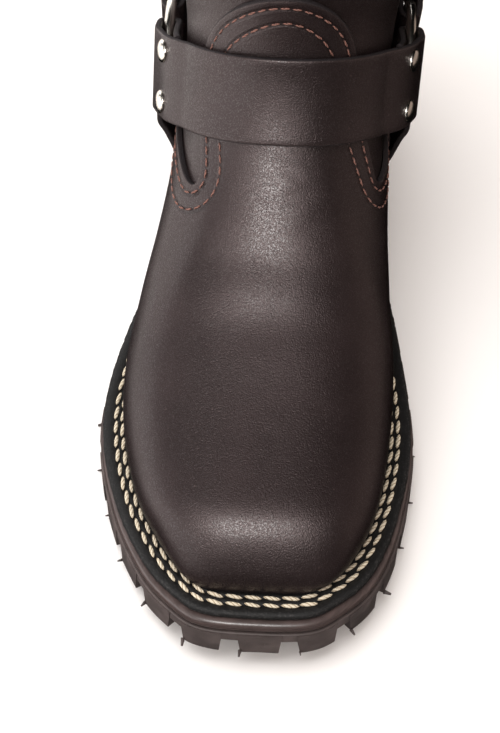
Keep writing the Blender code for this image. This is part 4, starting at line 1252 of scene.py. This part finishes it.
class Run:
    """One side of a strap: the skin under it by reach from the ring, for each place across."""

    def __init__(self, side, angle, turn=None):
        self.side = side
        self.way = np.array([math.cos(math.radians(angle)), math.sin(math.radians(angle))])
        self.over = np.array([self.way[1], -self.way[0]])
        if self.over[1] < 0.0:
            self.over = -self.over
        self.turn = turn
        self.centre, self.normal = ring_place(side)
        self.lines = {}

    def spot(self, reach, across):
        """Place in the side view."""
        return np.array([RING_Y, RING_Z]) + self.way * reach + self.over * across

    def to_welt(self, across):
        """Reach where a strap that runs down comes to the welt."""
        reach = 0.0
        for _ in range(WELT_ROUNDS):
            y, z = self.spot(reach, across)
            reach += (z - float(foot_line(y)) - DOWN_END) / -self.way[1]
        return reach

    def line(self, across):
        """Reach, skin points and outward ways along one line of the strap."""
        if across in self.lines:
            return self.lines[across]
        last = self.turn if self.turn else self.to_welt(across)
        reach = list(np.linspace(0.0, last, LYING_POINTS))
        points = [beside(self.side, *self.spot(r, across)) for r in reach]
        ways = [np.array([self.side, 0.0, 0.0])] * len(points)
        if self.turn:
            axis = np.array([RIBS["heel_mid"][-1], *self.spot(self.turn, across)])
            for angle in np.radians(np.arange(TURN_STEP, 90.0 + TURN_STEP / 2.0, TURN_STEP)):
                way = np.array([self.side * math.cos(angle), *(self.way * math.sin(angle))])
                points.append(skin_point(axis, way))
                ways.append(way)
                reach.append(reach[-1] + np.linalg.norm(points[-1] - points[-2]))
        self.lines[across] = np.array(reach), np.array(points), np.array(ways)
        return self.lines[across]

    def point(self, row, across):
        """Point of a strap's middle sheet for a row of reach, share of ring, and both heights."""
        reach, share, height, ring_height = row
        reaches, points, ways = self.line(across)
        spot = np.array([np.interp(reach, reaches, column) for column in points.T])
        way = np.array([np.interp(reach, reaches, column) for column in ways.T])
        lying = spot + way / np.linalg.norm(way) * height
        y, z = self.spot(reach, across)
        away = self.normal[1:] @ (np.array([y, z]) - self.centre[1:])
        hanging = np.array([self.centre[0] - away / self.normal[0] + self.side * ring_height, y, z])
        return lying + share * (hanging - lying)


def folded_end(width, back):
    """Rows of a strap end from its upper layer round the ring's wire to the end of its under layer."""
    bore = RING_R - WIRE / 2.0 - 1.5 * CLEAR
    turn = math.sqrt(bore ** 2 - (width / 2.0) ** 2) + WIRE / 2.0
    mouth = RING_R + WIRE / 2.0 + FOLD_PAST
    level = back + FOLD_PAST
    rows = [(level + FOLD_SLOPE, 0.0, LOW, RING_FACE), (level, 0.0, HIGH, RING_FACE)]
    rows += [((back + mouth) / 2.0, 0.5, HIGH, RING_FACE), (mouth, 1.0, HIGH, RING_FACE)]
    for angle in np.radians(np.linspace(0.0, 180.0, FOLD_STEPS)):
        rows.append((turn - RING_FACE * math.sin(angle), 1.0, LOW, RING_FACE * math.cos(angle)))
    rows += [(mouth, 1.0, LOW, -RING_FACE), ((back + mouth) / 2.0, 0.0, LOW, -RING_FACE)]
    rows.append((back, 0.0, LOW, -RING_FACE))
    return np.array(rows)


def strap_profile(width, radius):
    """Places across a strap, and how far its faces lie from its middle there."""
    inset, fall = (np.array(column) * radius for column in zip(*STRAP_EDGE))
    flat = STRAP_FLAT_FROM * radius
    middle = np.linspace(-width / 2.0 + flat, width / 2.0 - flat, STRAP_FLAT_POINTS)
    across = np.concatenate([inset - width / 2.0, middle, width / 2.0 - inset[::-1]])
    height = STRAP / 2.0 - np.concatenate([fall, np.zeros(STRAP_FLAT_POINTS), fall[::-1]])
    return across, height


def strap_mesh(name, sheet, width, across, height):
    """Closed strap round a middle sheet of points, whose rows run along it."""
    for _ in range(SOFT_ROUNDS):
        sheet[1:-1] = (sheet[:-2] + 2.0 * sheet[1:-1] + sheet[2:]) / 4.0
    normal = np.cross(np.gradient(sheet, axis=0), np.gradient(sheet, axis=1))
    normal /= np.linalg.norm(normal, axis=2, keepdims=True)
    rings, edges = [], []
    from_edge = width / 2.0 - np.abs(across)
    count = len(sheet)
    for k in range(count):
        upper = sheet[k] + normal[k] * height[:, None]
        under = sheet[k] - normal[k] * height[:, None]
        rings.append(np.concatenate([upper, under[::-1]]))
        end = np.linalg.norm(sheet[k] - sheet[0 if k < count / 2 else -1], axis=1).min()
        inner = END_ROWS < k < count - 1 - END_ROWS
        flat = np.minimum(from_edge + (from_edge > RAW_EDGE) * RAW_STEP, EDGE_FAR if inner else end)
        edges.append(np.concatenate([flat, flat[::-1]]))
    size = len(rings[0])
    faces = grid_faces(count, size, True)
    half = size // 2
    for start in (0, (count - 1) * size):
        last = start + size - 1
        faces += [(start + j, start + j + 1, last - j - 1, last - j) for j in range(half - 1)]
    return outward_faces(make_mesh(name, np.concatenate(rings), faces, {"edge": np.concatenate(edges)}))


def strap_rows(far, end, count):
    """Rows of a strap from its far reach to its folded end, and round that."""
    lying = [(reach, 0.0, LOW, 0.0) for reach in np.linspace(far, end[0][0], count)[:-1]]
    return np.concatenate([lying, even(end, FOLD_POINTS)])


def wrapped_sheet(angle, width, turn, across):
    """Middle sheet of a strap from one ring over or round the boot to the other, and its two runs."""
    runs = [Run(side, angle, turn) for side in (-1, 1)]
    end = folded_end(width, RETURN)
    halves = []
    for run in runs:
        half = []
        for place in across:
            rows = strap_rows(run.line(place)[0][-1], end, WRAP_POINTS)
            half.append([run.point(row, place) for row in rows])
        halves.append(np.array(half).swapaxes(0, 1))
    lateral, medial = halves
    middle = (lateral[:1] + medial[:1]) / 2.0
    return np.concatenate([lateral[:0:-1], middle, medial[1:]]), runs


def down_sheet(side, across):
    """Middle sheet of the strap from a ring down to the welt, and its run."""
    run = Run(side, DOWN_ANGLE)
    end = folded_end(DOWN_WIDTH, DOWN_RETURN)
    lines = []
    for place in across:
        rows = strap_rows(run.to_welt(place), end, DOWN_POINTS)
        lines.append([run.point(row, place) for row in rows])
    return np.array(lines).swapaxes(0, 1), run


def rivet_place(run, width, back, reach, across):
    """Foot of a rivet on the upper layer of a folded end, its outward way and a way along the strap."""
    end = folded_end(width, back)[:4][::-1]

    def at(place, over):
        row = [place, *(np.interp(place, end[:, 0], column) for column in end[:, 1:].T)]
        return run.point(row, over)

    along = at(reach + 1.0, across) - at(reach - 1.0, across)
    aside = at(reach, across + 1.0) - at(reach, across - 1.0)
    normal = np.cross(along, aside)
    normal *= np.sign(normal[0]) * run.side / np.linalg.norm(normal)
    return at(reach, across) + normal * STRAP / 2.0, normal, along


# What a user would change

def length(name, words, default):
    """A length in metres."""
    return FloatProperty(name=name, description=words, default=default, unit="LENGTH", min=0.0,
                         precision=5)


def colour(name, words, default):
    """A linear colour."""
    return FloatVectorProperty(name=name, description=words, default=default, subtype="COLOR", size=3,
                               min=0.0, max=1.0)


class BootSizes(bpy.types.PropertyGroup):
    """Sizes of the leather, the threads and the metal."""
    sheet_step: length("Sheet step", "Distance between points of the leather sheets", 0.0022)
    cut_round: length("Cut rounding", "Radius of a cut leather edge", 0.0008)
    first_row: length("First vamp row", "Stitch row from the vamp's edge", 0.0036)
    second_row: length("Second vamp row", "Second stitch row from the vamp's edge", 0.0098)
    vamp_pitch: length("Vamp stitch", "Distance from stitch to stitch on the vamp", 0.0042)
    vamp_thread: length("Vamp thread", "Thickness of the thread on the vamp", 0.00074)
    welt_pitch: length("Welt stitch", "Distance from stitch to stitch on the welt", 0.0065)
    welt_thread: length("Welt thread", "Width of the thread on the welt", 0.0016)
    welt_lean: FloatProperty(name="Welt lean", description="Slant of a welt stitch", default=0.16,
                             subtype="ANGLE")
    rivet_radius: length("Rivet radius", "Radius of a rivet cap", 0.0043)
    rivet_height: length("Rivet height", "Crown of a rivet cap over the leather", 0.0018)
    flash: length("Moulding flash", "Length of the shreds on the lugs' corners", 0.0024)
    seed: IntProperty(name="Seed", description="Start of the small random turns", default=7, min=0)


class BootColours(bpy.types.PropertyGroup):
    """Colours of the boot's materials."""
    leather: colour("Leather", "Oiled upper leather", (0.0140, 0.0090, 0.0092))
    # colour of the worn flecks and dust, and also of the painted highlight beside the cut edges
    fleck_and_highlight: colour("Leather fleck", "Worn flecks of the leather", (0.034, 0.024, 0.023))
    raw_edge: colour("Raw edge", "Cut edges of the leather", (0.010, 0.010, 0.012))
    welt: colour("Welt", "Welt leather", (0.0110, 0.0102, 0.0102))
    midsole: colour("Midsole", "Burnished sole leather", (0.070, 0.049, 0.046))
    rubber: colour("Rubber", "Outsole and heel", (0.074, 0.056, 0.053))
    cream: colour("Cream thread", "Thread of the welt", (0.66, 0.59, 0.46))
    # painted shade of the welt thread, in its twist and at its stitch ends
    cream_painted_shade: colour("Cream thread shade", "Welt thread in its twist", (0.34, 0.27, 0.18))
    rose: colour("Brown thread", "Thread of the vamp", (0.25, 0.115, 0.088))
    # painted shade of the vamp thread, in its twist and at its stitch ends
    rose_painted_shade: colour("Brown thread shade", "Vamp thread in its twist", (0.065, 0.028, 0.022))
    nickel: colour("Nickel", "Rings and rivets", (0.80, 0.75, 0.68))
    board: colour("Insole", "Insole leather", (0.30, 0.19, 0.11))
    floor: colour("Floor", "Studio floor", (0.93, 0.925, 0.92))


# Operators

class BootOperator(bpy.types.Operator):
    """Base of the boot's operators."""
    bl_options = {"REGISTER", "UNDO"}

    @property
    def sizes(self):
        return bpy.context.scene.boot_sizes

    @property
    def colours(self):
        return bpy.context.scene.boot_colours


class BOOT_OT_upper(BootOperator):
    """Hollow wall of foot and shaft, with its collar"""
    bl_idname = "boot.upper"
    bl_label = "Upper"

    STEP_SHARE = 1.3  # its rows lie further apart than the vamp's
    COLUMNS = 91
    RAW_SHIFT = 0.25  # makes the raw cut of the collar narrower

    def execute(self, context):
        rows = even_rows(self.sizes.sheet_step / MM * self.STEP_SHARE, COLLAR)
        sheet = Sheet(flat_sheet(rows, np.linspace(0.0, WIDE, self.COLUMNS)))
        from_top = RIBS["collar"][1] - sheet.points[:, 2]
        fall = rounded(from_top, WALL / 2.0)
        points, faces = sheet.wall(-VAMP - GAP - fall, fall - VAMP - GAP - WALL)
        edge = np.concatenate([from_top, from_top]) + self.RAW_SHIFT
        finish = leather_finish("shaft leather", self.colours)
        mesh = make_mesh("upper_leather", points, faces, {"edge": edge})
        settle(add_piece("upper_leather", mesh, finish), ["upper"])
        return {"FINISHED"}


class BOOT_OT_vamp(BootOperator):
    """Outer vamp with its raw edge and creases, and its two rows of stitches"""
    bl_idname = "boot.vamp"
    bl_label = "Vamp"

    COLUMNS = 107
    CUT_BAND = 6.0
    CUT_PARTS = 3
    SHARP = 50.0
    THREAD_LIFT = 0.08
    STITCH = 0.86
    LEAN = 0.05
    PLIES = 2.0

    def execute(self, context):
        sizes = self.sizes
        bm = flat_sheet(even_rows(sizes.sheet_step / MM, VAMP_END), np.linspace(0.0, WIDE, self.COLUMNS))
        sheet = Sheet(cut_sheet(bm, inside_vamp, self.CUT_BAND, self.CUT_PARTS))
        line = sheet.cut_line()
        distance = edge_distance(sheet.points, line)
        outer = creased(sheet.points) - rounded(distance, sizes.cut_round / MM)
        points, faces = sheet.wall(outer, np.full(len(outer), -VAMP))
        rows = [sizes.first_row / MM, sizes.second_row / MM]
        finish = leather_finish("vamp leather", self.colours, rows)
        mesh = make_mesh("vamp_leather", points, faces, {"edge": np.concatenate([distance, distance])})
        mesh.set_sharp_from_angle(angle=math.radians(self.SHARP))
        settle(add_piece("vamp_leather", mesh, finish), ["vamp"])
        self.sew(line, rows)
        return {"FINISHED"}

    def sew(self, line, rows):
        """Stitch rows beside the vamp's edge."""
        sizes, colours = self.sizes, self.colours
        threads = []
        for distance in rows:
            row = beside_line(line, distance, inside_vamp)
            spots, ways = on_skin(row, self.THREAD_LIFT)
            threads.append((spots, True, {"lift": smooth_ring(ways, WAY_SOFT)}))
        finish = thread_finish("brown thread", colours.rose, colours.rose_painted_shade, self.PLIES)
        sew("vamp_stitches", threads, sizes.seed, finish, sizes.vamp_pitch, self.STITCH,
            sizes.vamp_thread, self.LEAN)


class BOOT_OT_welt(BootOperator):
    """Welt with its rough ledge, lightened along its edge as painted highlight, and two rows of cream
    stitches
    """
    bl_idname = "boot.welt"
    bl_label = "Welt"

    # How far out and how high over the welt's top: from the foot outline, from a row of stitches
    # and from the ledge's edge
    PROFILE_INSIDE = ((-WELT_INSIDE, -WELT), (-WELT_INSIDE, 0.0), (-1.0, 0.0), (0.7, 0.05))
    PROFILE_ROW = ((-1.15, 0.10), (-0.55, -0.30), (0.0, -0.48), (0.55, -0.30), (1.15, 0.10))
    PROFILE_EDGE = ((-2.2, 0.0), (-1.2, -0.12), (-0.55, -0.38), (-0.15, -0.80), (0.0, -1.35), (0.0, -2.5),
                    (-0.3, -WELT))
    ROW_MARGIN = 1.3  # least distance of the outer row from the ledge's edge
    ROW_APART = 1.0
    ROW_FULL = 2.4  # rows closer than this have narrower grooves
    EDGE_SHARE = 0.4  # of the way to the outer row, for the rounded edge at most
    ROUGH_SCALE = 0.55
    ROUGH_NOISE = (1.0, 2.0, 3)  # fractal increment, lacunarity and octaves
    ROUGH_DEPTH = 0.22
    ROUGH_REACH = 2.5  # from the edge
    OFF_EDGE = 9.0
    SHARP = 55.0
    THREAD_LIFT = 0.28
    STITCH = 1.0
    PLIES = 3.0

    def execute(self, context):
        outer_row = smooth_ring(np.interp(FOOT[:, 1], OUTER_ROW_Y, OUTER_ROW), LEDGE_SOFT)
        ledge = LEDGE - smooth_ring(np.interp(FOOT[:, 1], OUTER_ROW_Y, WELT_BACK), LEDGE_SOFT)
        outer_row = np.minimum(outer_row, ledge - self.ROW_MARGIN)
        inner_row = np.minimum(INNER_ROW, outer_row - self.ROW_APART)
        rough = np.array([noise.fractal(Vector((*spot, 0.0)) * self.ROUGH_SCALE, *self.ROUGH_NOISE)
                          for spot in FOOT])
        groove = np.minimum(1.0, (outer_row - inner_row) / self.ROW_FULL)
        rings, edges = [], []

        def ring(out, level, edge):
            width = out + rough * self.ROUGH_DEPTH * max(0.0, 1.0 - edge / self.ROUGH_REACH)
            plan = FOOT + FOOT_OUT * np.reshape(width, (-1, 1))
            rings.append(np.column_stack([plan, foot_line(plan[:, 1]) + WELT_TOP + level]))
            edges.append(np.full(len(plan), edge))

        for out, level in self.PROFILE_INSIDE:
            ring(np.full(len(FOOT), out), level, self.OFF_EDGE)
        for row in (inner_row, outer_row):
            for out, level in self.PROFILE_ROW:
                ring(row + out * groove, level, self.OFF_EDGE)
        for out, level in self.PROFILE_EDGE:
            ring(ledge + np.maximum(out, -self.EDGE_SHARE * (ledge - outer_row)), level, -out)
        mesh = ring_mesh("welt_leather", rings, True, self.SHARP, {"edge": np.concatenate(edges)})
        settle(add_piece("welt_leather", mesh, welt_finish(self.colours)), ["welt"])
        self.sew((inner_row, outer_row))
        return {"FINISHED"}

    def sew(self, rows):
        """Stitch rows on the ledge, from the waist round the toe."""
        sizes, colours = self.sizes, self.colours
        threads = []
        kept = np.flatnonzero(FOOT[:, 1] < WELT_ROWS_END)
        for width in rows:
            plan = FOOT + FOOT_OUT * np.reshape(width, (-1, 1))
            spots = np.column_stack([plan, foot_line(plan[:, 1]) + WELT_TOP + self.THREAD_LIFT])[kept]
            run = np.gradient(spots, axis=0)
            out = np.column_stack([FOOT_OUT[kept], np.zeros(len(kept))])
            ways = np.cross(out, run)
            ways /= np.linalg.norm(ways, axis=1, keepdims=True)
            ways *= np.sign(ways[:, 2:])
            threads.append((spots, False, {"lift": ways}))
        finish = thread_finish("cream thread", colours.cream, colours.cream_painted_shade, self.PLIES)
        sew("welt_stitches", threads, sizes.seed, finish, sizes.welt_pitch, self.STITCH,
            sizes.welt_thread, -sizes.welt_lean)


class BOOT_OT_sole(BootOperator):
    """Insole and midsole"""
    bl_idname = "boot.sole"
    bl_label = "Insole and midsole"

    # Width outside the outline and height over the top, down a layer's edge
    MIDSOLE_EDGE = ((-3.0, 0.0), (-1.3, -0.05), (-0.5, -0.30), (0.1, -0.80), (0.38, -1.40), (0.45, -2.4),
                    (0.42, -3.6), (0.25, -4.4), (-0.1, -4.8), (-0.6, -5.0))
    INSOLE_EDGE = ((-2.0, 0.0), (-0.8, -0.1), (-0.25, -0.35), (0.0, -0.9), (0.0, -6.6))

    def execute(self, context):
        rings = [sole_ring(1.0, out, MIDSOLE_TOP + level) for out, level in self.MIDSOLE_EDGE]
        mesh = ring_mesh("midsole_leather", rings)
        piece = add_piece("midsole_leather", mesh, midsole_finish(self.colours))
        settle(piece, ["midsole"])
        inside = -WELT_INSIDE - GAP
        rings = [sole_ring(0.0, inside + out, INSOLE_RISE + level) for out, level in self.INSOLE_EDGE]
        mesh = ring_mesh("insole_leather", rings)
        settle(add_piece("insole_leather", mesh, board_finish(self.colours)), ["insole"])
        return {"FINISHED"}


class BOOT_OT_tread(BootOperator):
    """Outsole and heel with their lugs, and moulding flash on the lugs' corners"""
    bl_idname = "boot.tread"
    bl_label = "Outsole and heel"

    # Width outside the outline and height over the top
    SLAB_EDGE = ((-2.0, 0.0), (-0.35, -0.05), (0.0, -0.45), (0.0, -2.6), (0.0, -OUTSOLE))
    # How far inside the outline and height over the top
    HEEL_EDGE = ((1.5, 0.0), (0.3, -0.05), (0.0, -0.4), (0.15, -5.0))
    HEEL_FOOT_INSET = 0.3
    HEEL_LUG_RISE = 3.5  # the heel's rim lugs reach this far up its block
    RIM_ROOF = 0.9  # the outsole's rim lugs end this far under its top
    BREAST_GAP = 0.5
    BREAST_POINTS = 8
    FLASH_DROOP = -0.12
    FLASH_WIDTH = 0.7  # by its length
    FLASH_THICK = 0.5
    FLASH_SEED = 4

    def execute(self, context):
        finish = rubber_finish(self.colours)
        rings = [sole_ring(1.0, OUTSOLE_PROUD + out, OUTSOLE_TOP + rise) for out, rise in self.SLAB_EDGE]
        slab = ring_mesh("outsole_rubber", rings)
        line = sole_ring(1.0, OUTSOLE_PROUD, 0.0)[:, :2]
        lugs = bmesh.new()

        def roof(y):
            return foot_line(y) + OUTSOLE_TOP - self.RIM_ROOF

        def root(y):
            return foot_line(y) + OUTSOLE_BOTTOM + LUG_ROOT

        corners = rim_lugs(lugs, line, LUG_DEPTHS, lambda p: p[1] < LUGS_END, roof, tread)
        middle_lugs(lugs, line, LUG_DEPTHS, MIDDLE_LUG_ROWS, root, tread)
        settle(with_lugs("outsole_rubber", slab, lugs, finish), ["outsole"])
        settle(self.heel(finish), ["heel"])
        self.shreds(corners, finish)
        return {"FINISHED"}

    def heel(self, finish):
        """Heel block under the outsole's back, with lugs of its own."""
        line = sole_ring(1.0, HEEL_PROUD, 0.0)[:, :2]
        left, right = (float(x) for x in widths_at(line, HEEL_BREAST))
        behind = np.roll(line, OUTLINE_POINTS // 2, axis=0)
        behind = behind[behind[:, 1] > HEEL_BREAST + self.BREAST_GAP][::-1]
        if behind[0, 0] > behind[-1, 0]:
            behind = behind[::-1]
        middle, breast = (left + right) / 2.0, np.full(self.BREAST_POINTS, HEEL_BREAST)
        front = np.column_stack([np.linspace(middle, left, self.BREAST_POINTS), breast])
        back = np.column_stack([np.linspace(right, middle, self.BREAST_POINTS), breast])[:-1]
        plan = np.concatenate([front, behind, back])
        top = foot_line(plan[:, 1]) + OUTSOLE_BOTTOM - GAP
        rings = [np.column_stack([drawn_in(plan, inset), top + rise]) for inset, rise in self.HEEL_EDGE]
        rings.append(np.column_stack([drawn_in(plan, self.HEEL_FOOT_INSET), np.full(len(plan), LUG)]))
        block = ring_mesh("heel_rubber", rings)
        lugs = bmesh.new()
        rim_lugs(lugs, line, HEEL_LUG_DEPTHS, lambda p: p[1] > HEEL_BREAST + LUG_PITCH / 2.0,
                 level(LUG + self.HEEL_LUG_RISE), level(0.0))
        middle_lugs(lugs, line, HEEL_LUG_DEPTHS, HEEL_LUG_ROWS, level(LUG + LUG_ROOT), level(0.0))
        return with_lugs("heel_rubber", block, lugs, finish)

    def shreds(self, corners, finish):
        """Flash on the outer corners of the rim lugs."""
        spots = np.array([spot for spot, _ in corners])
        ways = np.array([(*out, self.FLASH_DROOP) for _, out in corners])
        ways /= np.linalg.norm(ways, axis=1, keepdims=True)
        along = np.cross(ways, (0.0, 0.0, 1.0))
        flash = self.sizes.flash
        inputs = {"Length": flash, "Width": flash * self.FLASH_WIDTH, "Thickness": flash * self.FLASH_THICK,
                  "Seed": self.sizes.seed + self.FLASH_SEED, "Material": finish}
        rows = [(spots, None, {"lift": ways, "way": along})]
        settle(grown("outsole_flash", flash_tree(), rows, inputs))


class BOOT_OT_harness(BootOperator):
    """Straps, rings and rivets"""
    bl_idname = "boot.harness"
    bl_label = "Harness"

    WORDS = {-1: "lateral", 1: "medial"}
    WRAPS = (("instep_strap", INSTEP_ANGLE, INSTEP_WIDTH, INSTEP_TURN),
             ("heel_strap", HEEL_STRAP_ANGLE, HEEL_STRAP_WIDTH, HEEL_STRAP_TURN))
    STRAP_ROUND = 0.9
    RING_STEPS = (96, 24)

    def execute(self, context):
        finish = leather_finish("strap leather", self.colours)
        metal = nickel_finish(self.colours)
        rivets, nodes = [], []
        for name, angle, width, turn in self.WRAPS:
            across, height = strap_profile(width, self.STRAP_ROUND)
            sheet, runs = wrapped_sheet(angle, width, turn, across)
            mesh = strap_mesh(name, sheet, width, across, height)
            settle(add_piece(name + "_leather", mesh, finish), [name])
            for run in runs:
                for level, place in (("low", -RIVET_SPREAD), ("high", RIVET_SPREAD)):
                    rivets.append(rivet_place(run, width, RETURN, RIVET_REACH, place))
                    nodes.append(f"rivet_{name}_{self.WORDS[run.side]}_{level}")
        for side, word in self.WORDS.items():
            across, height = strap_profile(DOWN_WIDTH, self.STRAP_ROUND)
            sheet, run = down_sheet(side, across)
            name = "down_strap_" + word
            mesh = strap_mesh(name, sheet, DOWN_WIDTH, across, height)
            settle(add_piece(name + "_leather", mesh, finish), [name])
            rivets.append(rivet_place(run, DOWN_WIDTH, DOWN_RETURN, DOWN_RIVET_REACH, 0.0))
            nodes.append("rivet_" + name)
            settle(self.ring("ring_" + word, side, metal), ["ring_" + word])
        spots, ways, along = (np.array(column) for column in zip(*rivets))
        inputs = {"Radius": self.sizes.rivet_radius, "Height": self.sizes.rivet_height, "Material": metal}
        caps = grown("rivet_caps", cap_tree(), [(spots, None, {"lift": ways, "way": along})], inputs)
        settle(caps, nodes)
        return {"FINISHED"}

    def ring(self, name, side, metal):
        """Wire ring lying against one side of the boot."""
        centre, normal = ring_place(side)
        turn = np.array(Vector(normal).to_track_quat("Z", "Y").to_matrix())
        around, across = (np.linspace(0.0, math.tau, steps, endpoint=False) for steps in self.RING_STEPS)
        out = RING_R + WIRE / 2.0 * np.cos(across)
        local = np.stack([np.outer(np.cos(around), out), np.outer(np.sin(around), out),
                          np.outer(np.ones(len(around)), WIRE / 2.0 * np.sin(across))], -1)
        rings = list(local @ turn.T + centre)
        return add_piece(name + "_wire", ring_mesh(name, rings, closed=True), metal)


class BOOT_OT_stage(BootOperator):
    """Floor, soft light and camera"""
    bl_idname = "boot.stage"
    bl_label = "Stage"

    TARGET = (-6.95, -59.6, 50.0)  # on the last
    AZIMUTH = 2.1
    ELEVATION = 54.5
    ROLL = 0.6
    DISTANCE = 750.0
    LENS = 101.56
    FLOOR = 6.0
    FLOOR_SPLIT = -170.0  # left of it the floor shows in gloss
    SENSOR = 36.0
    CLIP = (0.05, 20.0)
    AIM = (0.0, -0.03, 0.06)  # where the lights point, in metres
    # Azimuth and elevation from the boot, distance, width, height, power, colour, and whether it
    # acts on gloss and on matt colour
    LIGHTS = {
        "front_box": (-9.0, 49.0, 1.5, 0.34, 0.62, 22.0, (1.0, 0.985, 0.965), True, False),
        "left_box": (-68.0, 8.0, 1.5, 2.5, 1.1, 20.0, (1.0, 0.995, 0.99), True, True),
        "high_box": (-66.0, 60.0, 1.5, 0.9, 0.8, 1.6, (1.0, 0.995, 0.99), True, True),
        "back_box": (-150.0, 20.0, 1.5, 1.6, 1.0, 10.0, (1.0, 0.995, 0.99), True, True),
        "right_box": (98.0, 4.0, 1.5, 2.4, 1.2, 3.2, (1.0, 0.80, 0.70), True, True),
        "floor_wash": (-70.0, 79.0, 1.6, 1.1, 1.1, 19.0, (1.0, 0.985, 0.97), False, True),
    }
    SKY = (1.0, 0.90, 0.84)
    SKY_LIGHT = 0.82

    def execute(self, context):
        scene = bpy.context.scene
        scene.view_settings.view_transform = "Standard"
        self.floor()
        for name, row in self.LIGHTS.items():
            self.light(name, *row)
        world = bpy.data.worlds.new("studio")
        world.use_nodes = True
        sky = world.node_tree.nodes["Background"]
        sky.inputs["Color"].default_value = (*self.SKY, 1.0)
        sky.inputs["Strength"].default_value = self.SKY_LIGHT
        scene.world = world
        world.cycles_visibility.glossy = False  # the sky doesn't show in gloss
        scene.camera = self.camera()
        return {"FINISHED"}

    def floor(self):
        """Pale studio floor."""
        finish = Finish("studio floor", specular_ior_level=0.2)
        haze = finish.noise(400.0, 2.0)
        finish.set("base_color", finish.mix(haze, shade(self.colours.floor, 0.985), self.colours.floor))
        finish.set("roughness", 0.75 + haze * 0.1)
        half = self.FLOOR / 2.0 / MM
        for name, left, right, glossy in (("floor_left", -half, self.FLOOR_SPLIT, True),
                                          ("floor_right", self.FLOOR_SPLIT, half, False)):
            corners = [(left, -half, 0.0), (right, -half, 0.0), (right, half, 0.0), (left, half, 0.0)]
            mesh = make_mesh(name, np.array(corners) - SHIFT, [(0, 1, 2, 3)])
            floor = add_piece(name, mesh, finish.material)
            floor.visible_glossy = glossy

    def light(self, name, azimuth, elevation, distance, wide, high, power, tint, glossy, matt):
        """Soft box aimed at the boot."""
        lamp = bpy.data.lights.new(name, "AREA")
        lamp.shape = "RECTANGLE"
        lamp.size, lamp.size_y = wide, high
        lamp.energy = power
        lamp.color = tint
        way = self.way(azimuth, elevation)
        holder = bpy.data.objects.new(name, lamp)
        holder.location = Vector(self.AIM) + way * distance
        holder.rotation_euler = way.to_track_quat("Z", "Y").to_euler()
        holder.visible_glossy = glossy
        holder.visible_diffuse = matt
        bpy.context.scene.collection.objects.link(holder)

    @staticmethod
    def way(azimuth, elevation):
        """Direction from the boot, azimuth 0 in front of the toe and growing towards the medial side."""
        a, e = math.radians(azimuth), math.radians(elevation)
        return Vector((math.sin(a) * math.cos(e), -math.cos(a) * math.cos(e), math.sin(e)))

    def camera(self):
        """Camera at the viewing angle of the photograph."""
        back = self.way(self.AZIMUTH, self.ELEVATION)
        right = Vector((math.cos(math.radians(self.AZIMUTH)), math.sin(math.radians(self.AZIMUTH)), 0.0))
        up = back.cross(right)
        roll = math.radians(self.ROLL)
        axes = (right * math.cos(roll) + up * math.sin(roll),
                up * math.cos(roll) - right * math.sin(roll), back)
        made = bpy.data.cameras.new("camera")
        made.sensor_width = self.SENSOR
        made.lens = self.LENS
        made.clip_start, made.clip_end = self.CLIP
        holder = bpy.data.objects.new("camera", made)
        place = (Vector(self.TARGET) + Vector(SHIFT) + back * self.DISTANCE) * MM
        holder.matrix_world = Matrix.Translation(place) @ Matrix(axes).transposed().to_4x4()
        bpy.context.scene.collection.objects.link(holder)
        return holder


OPERATORS = (BOOT_OT_upper, BOOT_OT_vamp, BOOT_OT_welt, BOOT_OT_sole, BOOT_OT_tread, BOOT_OT_harness,
             BOOT_OT_stage)


class BOOT_PT_panel(bpy.types.Panel):
    """Sidebar panel of the boot"""
    bl_idname = "BOOT_PT_panel"
    bl_label = "Harness boot"
    bl_space_type = "VIEW_3D"
    bl_region_type = "UI"
    bl_category = "Boot"

    def draw(self, context):
        for group in (context.scene.boot_sizes, context.scene.boot_colours):
            column = self.layout.column()
            for key in group.__annotations__:
                column.prop(group, key)
        for operator in OPERATORS:
            self.layout.operator(operator.bl_idname)


CLASSES = (BootSizes, BootColours, *OPERATORS, BOOT_PT_panel)


def register():
    for cls in CLASSES:
        bpy.utils.register_class(cls)
    bpy.types.Scene.boot_sizes = PointerProperty(type=BootSizes)
    bpy.types.Scene.boot_colours = PointerProperty(type=BootColours)


def unregister():
    del bpy.types.Scene.boot_colours
    del bpy.types.Scene.boot_sizes
    for cls in reversed(CLASSES):
        bpy.utils.unregister_class(cls)


def main():
    register()
    bpy.ops.boot.upper()
    bpy.ops.boot.vamp()
    bpy.ops.boot.welt()
    bpy.ops.boot.sole()
    bpy.ops.boot.tread()
    bpy.ops.boot.harness()
    bpy.ops.boot.stage()


if __name__ == "__main__":
    main()
